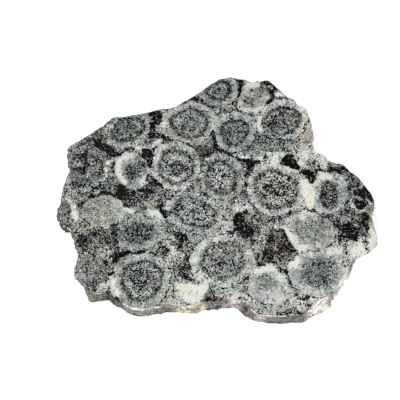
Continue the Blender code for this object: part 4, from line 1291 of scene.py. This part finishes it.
def cloud(tree, vector, size, detail=2.0, rough=0.5, colour=False):
    node = tree.nodes.new("ShaderNodeTexNoise")
    feed(tree, node.inputs["Vector"], vector)
    node.inputs["Scale"].default_value = 1 / size
    node.inputs["Detail"].default_value = detail
    node.inputs["Roughness"].default_value = rough
    return node.outputs["Color" if colour else "Fac"]


# A cloud that swings about zero.
def swing(tree, vector, *settings):
    return minus(tree, cloud(tree, vector, *settings), 0.5)


def wobble(tree, vector, size, reach, detail=1.0):
    spread = vectorMaths(tree, "SUBTRACT", cloud(tree, vector, size, detail, colour=True), (0.5, 0.5, 0.5))
    node = tree.nodes.new("ShaderNodeVectorMath")
    node.operation = "SCALE"
    feed(tree, node.inputs[0], spread)
    node.inputs["Scale"].default_value = 2 * reach
    return vectorMaths(tree, "ADD", vector, node.outputs[0])


def cells(tree, vector, size, smooth):
    node = tree.nodes.new("ShaderNodeTexVoronoi")
    node.feature = "SMOOTH_F1"
    feed(tree, node.inputs["Vector"], vector)
    node.inputs["Scale"].default_value = 1 / size
    node.inputs["Smoothness"].default_value = smooth
    return node.outputs["Color"]


def parts(tree, vector):
    node = tree.nodes.new("ShaderNodeSeparateXYZ")
    feed(tree, node.inputs[0], vector)
    return node.outputs


def field(tree, name):
    node = tree.nodes.new("ShaderNodeAttribute")
    node.attribute_name = name
    return node.outputs


def newGroup(name, inputs, outputs):
    tree = bpy.data.node_groups.new(name, "ShaderNodeTree")
    for label, kind, value in inputs:
        socket = tree.interface.new_socket(label, in_out="INPUT", socket_type=kind)
        if value is not None:
            socket.default_value = value
    for label, kind in outputs:
        tree.interface.new_socket(label, in_out="OUTPUT", socket_type=kind)
    return tree, tree.nodes.new("NodeGroupInput").outputs, tree.nodes.new("NodeGroupOutput").inputs


def placed(tree, group, **values):
    node = tree.nodes.new("ShaderNodeGroup")
    node.node_tree = group
    for name, value in values.items():
        feed(tree, node.inputs[name], value)
    return node.outputs


# Sizes and reaches are in millimetres. A pair is where something starts and where it is full.
rockLook = {
    "grain": 0.43,  # size of a mineral grain
    "grainSmooth": 0.08,
    "grainTwist": 0.18,
    "twistSize": 0.7,
    "cluster": 1.3,  # size of the loose clumps that dark grains make
    "clusterPull": 1.3,
    "patch": 3.4,  # and of the wider patches
    "patchPull": 1.0,
    "outlineCell": 1.3,  # ragged outlines: size and reach of their wander
    "outlineReach": 0.62,
    "edgeBlend": 0.3,  # on each side of an orbicule's skin the rocks blend over this much
    "ringBlend": 0.5,  # and on each side of its ring's middle the rim and the inside
    "ringOut": 1.2,  # how far the dark ring reaches outwards and inwards from its middle
    "ringIn": 1.5,
    "ringMiddle": 0.3,  # its full strength reaches inwards by this much
    "ringShare": 0.85,  # dark grains in the strongest ring
    "ringGrey": 0.3,  # how much greyer and how much dimmer its pale grains are
    "ringDim": 0.36,
    "ringWander": 0.9,
    "ringPush": 0.2,  # the ring's middle lies this far outside its ellipse
    "toothSize": 0.7,  # dark teeth that reach from the ring into the rim
    "toothReach": 2.0,
    "toothFrom": (0.48, 0.66),
    "spokeSize": 0.9,  # dark fringe on the ring's inner side
    "spokeReach": 2.0,
    "petalSize": 1.9,  # width of the radial blocks in the rims
    "petalCrack": 0.2,  # dark grains along the lines between them
    "petalLine": 0.06,
    "petalBreak": (0.42, 0.6),  # where those lines are broken
    "petalBreakSize": 1.6,
    "petalPull": 0.9,  # how far the blocks push the skin in or out
    "petalTone": 1.0,
    "rimShade": 0.28,  # the rim is this much greyer beside the dark ring
    "rimShadeReach": 2.6,
    "seamShare": 0.78,  # broken dark line round each orbicule, just outside its skin
    "seamPush": 0.35,
    "seamWidth": (0.15, 0.75),
    "seamBreak": (0.4, 0.58),
    "seamBreakSize": 2.6,
    "feldsparBlend": (-1.2, 1.0),  # pale feldspar blots: their skin, dark grains and whiteness
    "feldsparSpecks": 0.06,
    "feldsparWhite": 0.92,
    "blotRagged": 1.7,  # dark blots wander by this many times the outlines' wander
    "blotBlend": (-0.4, 0.3),
    "blotFill": 0.93,
    "blotDim": 0.5,  # how much dimmer the pale grains are that lie inside dark blots
    "smoke": (0.022, 0.016, 0.013, 1),
    "paleVary": 0.9,  # how much pale grains vary from place to place
    "mottleSize": 1.3,
    "grainVary": 0.8,  # and from one grain to the next
    "calmLeast": 0.4,  # pale rock with few dark grains varies this much less
    "calmBelow": 0.16,
    "speckWhite": 0.75,  # stray white grains inside the rings
    "speckShare": 0.12,
    "hueSize": 3.0,  # patches of a warmer and a cooler cast
    "paleHue": (0.24, 0.0, 0.36),
    "darkHue": (1.1, 0.0, 1.6),
    "greyGrain": (0.120, 0.136, 0.128, 1),
    "whiteGrain": (0.555, 0.565, 0.53, 1),
    "creamGrain": (0.62, 0.605, 0.53, 1),
    "blackGrain": (0.0021, 0.002, 0.0021, 1),
    "greenGrain": (0.012, 0.017, 0.016, 1),
    "brownGrain": (0.0095, 0.0058, 0.0048, 1),
}


# The rock itself, from the slab's fields: the local share of dark grains is worked out first,
# and each grain is dark where its own random number falls below that share.
def orbicularRock(look):
    tree, given, out = newGroup(
        "orbicularRock",
        [("Places", "NodeSocketVector", None), ("Softness", "NodeSocketFloat", 0.06)],
        [("Colour", "NodeSocketColor"), ("Dark", "NodeSocketFloat"), ("Grain", "NodeSocketFloat")],
    )
    spot = given["Places"]
    edge, ring, ringDark = parts(tree, field(tree, "rings")["Vector"])
    inner, rim, matrix = parts(tree, field(tree, "shares")["Vector"])
    innerWhite, rimWhite, matrixWhite = parts(tree, field(tree, "whites")["Vector"])
    blot, blotShare, brown = parts(tree, field(tree, "blots")["Vector"])
    pale, cream, _ = parts(tree, field(tree, "pales")["Vector"])
    outline = times(tree, swing(tree, spot, look["outlineCell"], 2.0, 0.6), 2 * look["outlineReach"])

    # The dark ring, with teeth outwards and a fringe inwards
    spoke = field(tree, "spoke")["Vector"]
    tooth = eased(tree, cloud(tree, spoke, look["toothSize"], 0.0), *look["toothFrom"])
    fringe = cloud(tree, spoke, look["spokeSize"], 1.0)
    ringAt = timesPlus(tree, outline, look["ringWander"], minus(tree, ring, look["ringPush"]))
    outwards = timesPlus(tree, tooth, look["toothReach"], look["ringOut"])
    inwards = timesPlus(tree, fringe, look["spokeReach"], look["ringIn"])
    onRing = times(tree, eased(tree, ringAt, 0.0, outwards, 1.0, 0.0), ringDark)
    inward = times(tree, ringAt, -1.0)
    onRing = times(tree, eased(tree, inward, look["ringMiddle"], inwards, 1.0, 0.0), onRing)
    inRing = eased(tree, ringAt, look["ringBlend"], -look["ringBlend"])

    # The share of dark grains: inside the ring, in the rim with its radial blocks, and outside
    petal = swing(tree, spoke, look["petalSize"], 1.0)
    crack = eased(tree, maths(tree, "ABSOLUTE", petal), 0.0, look["petalLine"], look["petalCrack"], 0.0)
    broken = eased(tree, cloud(tree, spot, look["petalBreakSize"], 1.0), *look["petalBreak"])
    share = between(tree, inRing, plus(tree, rim, times(tree, crack, broken)), inner)
    share = maths(tree, "MAXIMUM", share, times(tree, onRing, look["ringShare"]))
    skin = plus(tree, edge, timesPlus(tree, petal, look["petalPull"], outline))
    inEdge = eased(tree, skin, -look["edgeBlend"], look["edgeBlend"])
    share = between(tree, inEdge, matrix, share)

    # How white the pale grains are
    shade = eased(tree, ringAt, 0.0, look["rimShadeReach"], look["rimShade"], 0.0)
    rimWhite = timesPlus(tree, petal, look["petalTone"], minus(tree, rimWhite, shade))
    within = timesPlus(tree, onRing, -look["ringGrey"], between(tree, inRing, rimWhite, innerWhite))
    whiteness = between(tree, inEdge, matrixWhite, within)

    # The seam round each orbicule, feldspar blots and dark blots
    seamAt = maths(tree, "ABSOLUTE", plus(tree, skin, look["seamPush"]))
    broken = eased(tree, cloud(tree, spot, look["seamBreakSize"], 1.0), *look["seamBreak"])
    seam = times(tree, eased(tree, seamAt, *look["seamWidth"], 1.0, 0.0), broken)
    share = maths(tree, "MAXIMUM", share, times(tree, seam, look["seamShare"]))
    inPale = eased(tree, plus(tree, pale, outline), *look["feldsparBlend"])
    share = between(tree, inPale, share, look["feldsparSpecks"])
    whiteness = between(tree, inPale, whiteness, look["feldsparWhite"])
    ragged = times(tree, outline, look["blotRagged"])
    inBlot = eased(tree, plus(tree, blot, ragged), *look["blotBlend"])
    share = between(tree, inBlot, share, times(tree, blotShare, look["blotFill"]))

    # Clumps pull on the share most where it is near a half
    clump = times(tree, swing(tree, spot, look["cluster"], 2.0, 0.6), look["clusterPull"])
    clump = timesPlus(tree, swing(tree, spot, look["patch"], 1.0), look["patchPull"], clump)
    mixed = times(tree, share, minus(tree, 4.0, times(tree, share, 4.0)))
    share = timesPlus(tree, clump, mixed, share)
    twisted = wobble(tree, spot, look["twistSize"], look["grainTwist"])
    chance, tone, kind = parts(tree, cells(tree, twisted, look["grain"], look["grainSmooth"]))
    soft = given["Softness"]
    # Stretched, so that soft edges take nothing from the share of dark grains
    stretched = timesPlus(tree, share, plus(tree, soft, 1.0), times(tree, soft, -0.35))
    dark = eased(tree, minus(tree, stretched, chance), times(tree, soft, -1.0), soft)

    # Pale grains, from grey to white
    mottle = swing(tree, twisted, look["mottleSize"], 3.0, 0.75)
    speck = eased(tree, tone, 1 - look["speckShare"], 1.06 - look["speckShare"], 0.0, look["speckWhite"])
    speck = times(tree, speck, minus(tree, 1.0, whiteness))
    vary = times(tree, mottle, 2 * look["paleVary"])
    vary = timesPlus(tree, minus(tree, kind, 0.5), look["grainVary"], vary)
    vary = times(tree, vary, eased(tree, share, 0.0, look["calmBelow"], look["calmLeast"], 1.0))
    pick = eased(tree, plus(tree, plus(tree, vary, whiteness), speck), -0.1, 1.1)
    paleGrain = blended(tree, pick, look["greyGrain"], look["whiteGrain"])
    creamy = times(tree, times(tree, inPale, cream), pick)
    paleGrain = blended(tree, creamy, paleGrain, look["creamGrain"])
    paleGrain = blended(tree, 1.0, paleGrain, field(tree, "tint")["Vector"], "MULTIPLY")
    hue = cloud(tree, spot, look["hueSize"], 2.0, colour=True)
    hue = vectorMaths(tree, "SUBTRACT", hue, (0.5, 0.5, 0.5))
    paleHue = vectorMaths(tree, "MULTIPLY_ADD", hue, look["paleHue"], (1.0, 1.0, 1.0))
    darkHue = vectorMaths(tree, "MULTIPLY_ADD", hue, look["darkHue"], (1.0, 1.0, 1.0))
    paleGrain = blended(tree, 1.0, paleGrain, paleHue, "MULTIPLY")
    dim = times(tree, times(tree, onRing, inEdge), look["ringDim"])
    paleGrain = blended(tree, dim, paleGrain, (0.0, 0.0, 0.0, 1))
    dim = times(tree, times(tree, blotShare, blotShare), look["blotDim"])
    paleGrain = blended(tree, times(tree, dim, inBlot), paleGrain, look["smoke"])

    # Dark grains: black, a little greenish outside the blots, and brown mica
    greenish = times(tree, maths(tree, "POWER", kind, 2.0), minus(tree, 1.0, inBlot))
    darkGrain = blended(tree, greenish, look["blackGrain"], look["greenGrain"])
    darkGrain = blended(tree, times(tree, brown, inBlot), darkGrain, look["brownGrain"])
    darkGrain = blended(tree, 1.0, darkGrain, darkHue, "MULTIPLY")
    feed(tree, out["Colour"], blended(tree, dark, paleGrain, darkGrain))
    feed(tree, out["Dark"], dark)
    feed(tree, out["Grain"], tone)
    return tree


coatLook = {
    "patchSize": 2.2,
    "patchPull": 0.9,
    "streakSize": (6.0, 6.0, 1.7),  # flat streaks that run round the edge
    "streakPull": 3.0,
    "fineSize": 0.7,
    "finePull": 1.5,
    "darkest": 0.15,
    "thin": (0.9, 1.3, 0.8),  # how streaks, patches and both together thin the coat
    "coverFrom": (0.1, 0.85),
    "coverFull": 0.15,  # below this listed strength the coat fades out altogether
    "shown": 0.6,  # how far dark grains show through
    "crystalSize": (0.9, 0.9, 1.8),  # dark crystals, fewer where the coat is pale
    "crystalPull": 0.85,
    "crystalFrom": (0.56, 0.64),
    "crystalPale": (0.6, 0.25),
    # The dark crystals' colour, also used for painted shade low on the wall and painted shadow at the foot;
    # then the painted shade's reach and strength
    "crystalAndShadeColour": (0.045, 0.04, 0.04, 1),
    "footShadeReach": (2.4, 0.1),
    "footShadeShare": 0.5,
    "footShadowStrength": 0.95,  # how dark the painted shadow is on the listed stretches of the foot
    # the colour and thresholds of the painted white highlight along the arris
    "highlightColour": (0.84, 0.83, 0.80, 1),
    "highlightFrom": (0.42, 0.72),
}


# The thin weathered skin of the broken edge over the rock's own colour: streaks along the edge,
# dark crystals, painted shade and painted shadow at the foot, and a painted white highlight along the
# arris.
def weatheredCoat(look):
    tree, given, out = newGroup(
        "weatheredCoat",
        [("Places", "NodeSocketVector", None), ("Colour", "NodeSocketColor", None),
         ("Dark", "NodeSocketFloat", 0.0), ("Cover", "NodeSocketFloat", 1.0)],
        [("Colour", "NodeSocketColor"), ("Coat", "NodeSocketFloat")],
    )
    spot = given["Places"]
    skin = field(tree, "coat")
    squash = vectorMaths(tree, "DIVIDE", spot, look["streakSize"])
    streak = swing(tree, squash, 1.0, 3.0, 0.6)
    patch = swing(tree, spot, look["patchSize"], 3.0, 0.65)
    byStreak, byPatch, byBoth = look["thin"]
    uneven = plus(tree, times(tree, streak, byStreak), times(tree, patch, byPatch))
    cover = plus(tree, times(tree, skin["Alpha"], given["Cover"]), times(tree, uneven, byBoth))
    dense = eased(tree, skin["Alpha"], 0.0, look["coverFull"])
    cover = times(tree, eased(tree, cover, *look["coverFrom"]), dense)
    bare = times(tree, given["Dark"], look["shown"])
    cover = times(tree, cover, minus(tree, 1.0, bare))

    tone = timesPlus(tree, streak, look["streakPull"], 1.0)
    tone = timesPlus(tree, patch, look["patchPull"], tone)
    fine = swing(tree, spot, look["fineSize"], 2.0, 0.7)
    tone = maths(tree, "MAXIMUM", timesPlus(tree, fine, look["finePull"], tone), look["darkest"])
    shaded = vectorMaths(tree, "MULTIPLY", skin["Color"], combined(tree, tone, tone, tone))
    crystals = cloud(tree, vectorMaths(tree, "DIVIDE", spot, look["crystalSize"]), 1.0, 2.0, 0.6)
    crystals = timesPlus(tree, patch, 0.6, crystals)
    crystals = times(tree, eased(tree, crystals, *look["crystalFrom"]), look["crystalPull"])
    fewer = eased(tree, parts(tree, skin["Color"])[0], *look["crystalPale"])
    shaded = blended(tree, times(tree, crystals, fewer), shaded, look["crystalAndShadeColour"])

    mark = field(tree, "paintedLightMark")["Fac"]
    # Painted shade, darker towards the foot of the wall, and painted shadow on the listed stretches of the
    # foot
    low = plus(tree, parts(tree, spot)[2], times(tree, patch, 1.2))
    footShade = times(tree, eased(tree, low, *look["footShadeReach"]), look["footShadeShare"])
    footShadow = maths(tree, "MAXIMUM", times(tree, mark, -look["footShadowStrength"]), 0.0)
    shaded = blended(tree, maths(tree, "MAXIMUM", footShade, footShadow), shaded, look["crystalAndShadeColour"])
    colour = blended(tree, cover, given["Colour"], shaded)
    # A painted white highlight along the listed stretches of the arris
    highlit = plus(tree, mark, timesPlus(tree, fine, 0.9, patch))
    highlit = eased(tree, highlit, *look["highlightFrom"])
    feed(tree, out["Colour"], blended(tree, highlit, colour, look["highlightColour"]))
    feed(tree, out["Coat"], cover)
    return tree


reliefLook = {
    "toothSize": 0.35,
    "pluckSize": 0.5,
    "pluckFrom": (0.45, 0.65),
}


# Relief in millimetres: grains that stand a little proud or low, fine tooth, and pits where
# dark mica has plucked out.
def stoneRelief(look):
    tree, given, out = newGroup(
        "stoneRelief",
        [("Places", "NodeSocketVector", None), ("Dark", "NodeSocketFloat", 0.0),
         ("Grain", "NodeSocketFloat", 0.5), ("Step", "NodeSocketFloat", 0.1),
         ("Tooth", "NodeSocketFloat", 0.05), ("Pluck", "NodeSocketFloat", 0.02)],
        [("Height", "NodeSocketFloat")],
    )
    spot = given["Places"]
    height = times(tree, given["Grain"], given["Step"])
    height = timesPlus(tree, cloud(tree, spot, look["toothSize"], 3.0, 0.6), given["Tooth"], height)
    pluck = eased(tree, cloud(tree, spot, look["pluckSize"], 1.0), *look["pluckFrom"])
    pluck = times(tree, given["Dark"], pluck)
    feed(tree, out["Height"], minus(tree, height, times(tree, pluck, given["Pluck"])))
    return tree


rockGroup = orbicularRock(rockLook)
coatGroup = weatheredCoat(coatLook)
reliefGroup = stoneRelief(reliefLook)

finishes = {
    "polishedFace": {
        "softness": 0.06, "specular": 0.15, "paleRough": 0.24, "darkRough": 0.24,
        "grainStep": 0.004, "tooth": 0.002, "pluck": 0.02,
    },
    "brokenEdge": {
        "softness": 0.12, "specular": 0.35, "paleRough": 0.72, "darkRough": 0.60,
        "grainStep": 0.16, "tooth": 0.12, "pluck": 0.10,
        "cover": 1.0, "coatRough": 0.85,
    },
    "sawnBack": {
        "softness": 0.12, "specular": 0.35, "paleRough": 0.62, "darkRough": 0.66,
        "grainStep": 0.03, "tooth": 0.03, "pluck": 0.06,
        "sawSpacing": 1.5, "sawCentre": (130.0, -40.0, 0.0), "sawDepth": 0.05,
        "dust": 0.22, "dustFrom": (0.35, 0.75), "leastDust": 0.1, "dustColour": (0.42, 0.42, 0.40, 1),
    },
}


# One finish of the stone: the rock's colour, then a weathered coat or arcs left by the saw,
# and the relief.
def stoneMaterial(name, look):
    material = bpy.data.materials.new(name)
    material.use_nodes = True
    tree = material.node_tree
    shader = tree.nodes["Principled BSDF"]
    shader.inputs["Specular IOR Level"].default_value = look["specular"]
    coordinates = tree.nodes.new("ShaderNodeTexCoord").outputs["Object"]
    spot = vectorMaths(tree, "MULTIPLY", coordinates, (1 / mm,) * 3)
    rock = placed(tree, rockGroup, Places=spot, Softness=look["softness"])
    relief = placed(tree, reliefGroup, Places=spot, Dark=rock["Dark"], Grain=rock["Grain"],
                    Step=look["grainStep"], Tooth=look["tooth"], Pluck=look["pluck"])
    colour, height = rock["Colour"], relief["Height"]
    rough = between(tree, rock["Dark"], look["paleRough"], look["darkRough"])
    if "cover" in look:
        coated = placed(tree, coatGroup, Places=spot, Colour=colour, Dark=rock["Dark"], Cover=look["cover"])
        colour = coated["Colour"]
        rough = between(tree, coated["Coat"], rough, look["coatRough"])
    if "sawSpacing" in look:
        x, y, _ = parts(tree, vectorMaths(tree, "SUBTRACT", spot, look["sawCentre"]))
        arc = maths(tree, "SQRT", plus(tree, times(tree, x, x), times(tree, y, y)))
        beat = cloud(tree, combined(tree, arc, 0.0, 0.0), look["sawSpacing"], 3.0, 0.7)
        height = timesPlus(tree, beat, look["sawDepth"], height)
        dusty = times(tree, eased(tree, beat, *look["dustFrom"]), look["dust"])
        colour = blended(tree, plus(tree, dusty, look["leastDust"]), colour, look["dustColour"])
    bump = tree.nodes.new("ShaderNodeBump")
    bump.inputs["Distance"].default_value = mm
    feed(tree, bump.inputs["Height"], height)
    feed(tree, shader.inputs["Normal"], bump.outputs["Normal"])
    feed(tree, shader.inputs["Base Color"], colour)
    feed(tree, shader.inputs["Roughness"], rough)
    return material


for name, look in finishes.items():
    slab.data.materials.append(stoneMaterial(name, look))
print("stone finishes made")

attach(slab, "root")
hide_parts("slab")
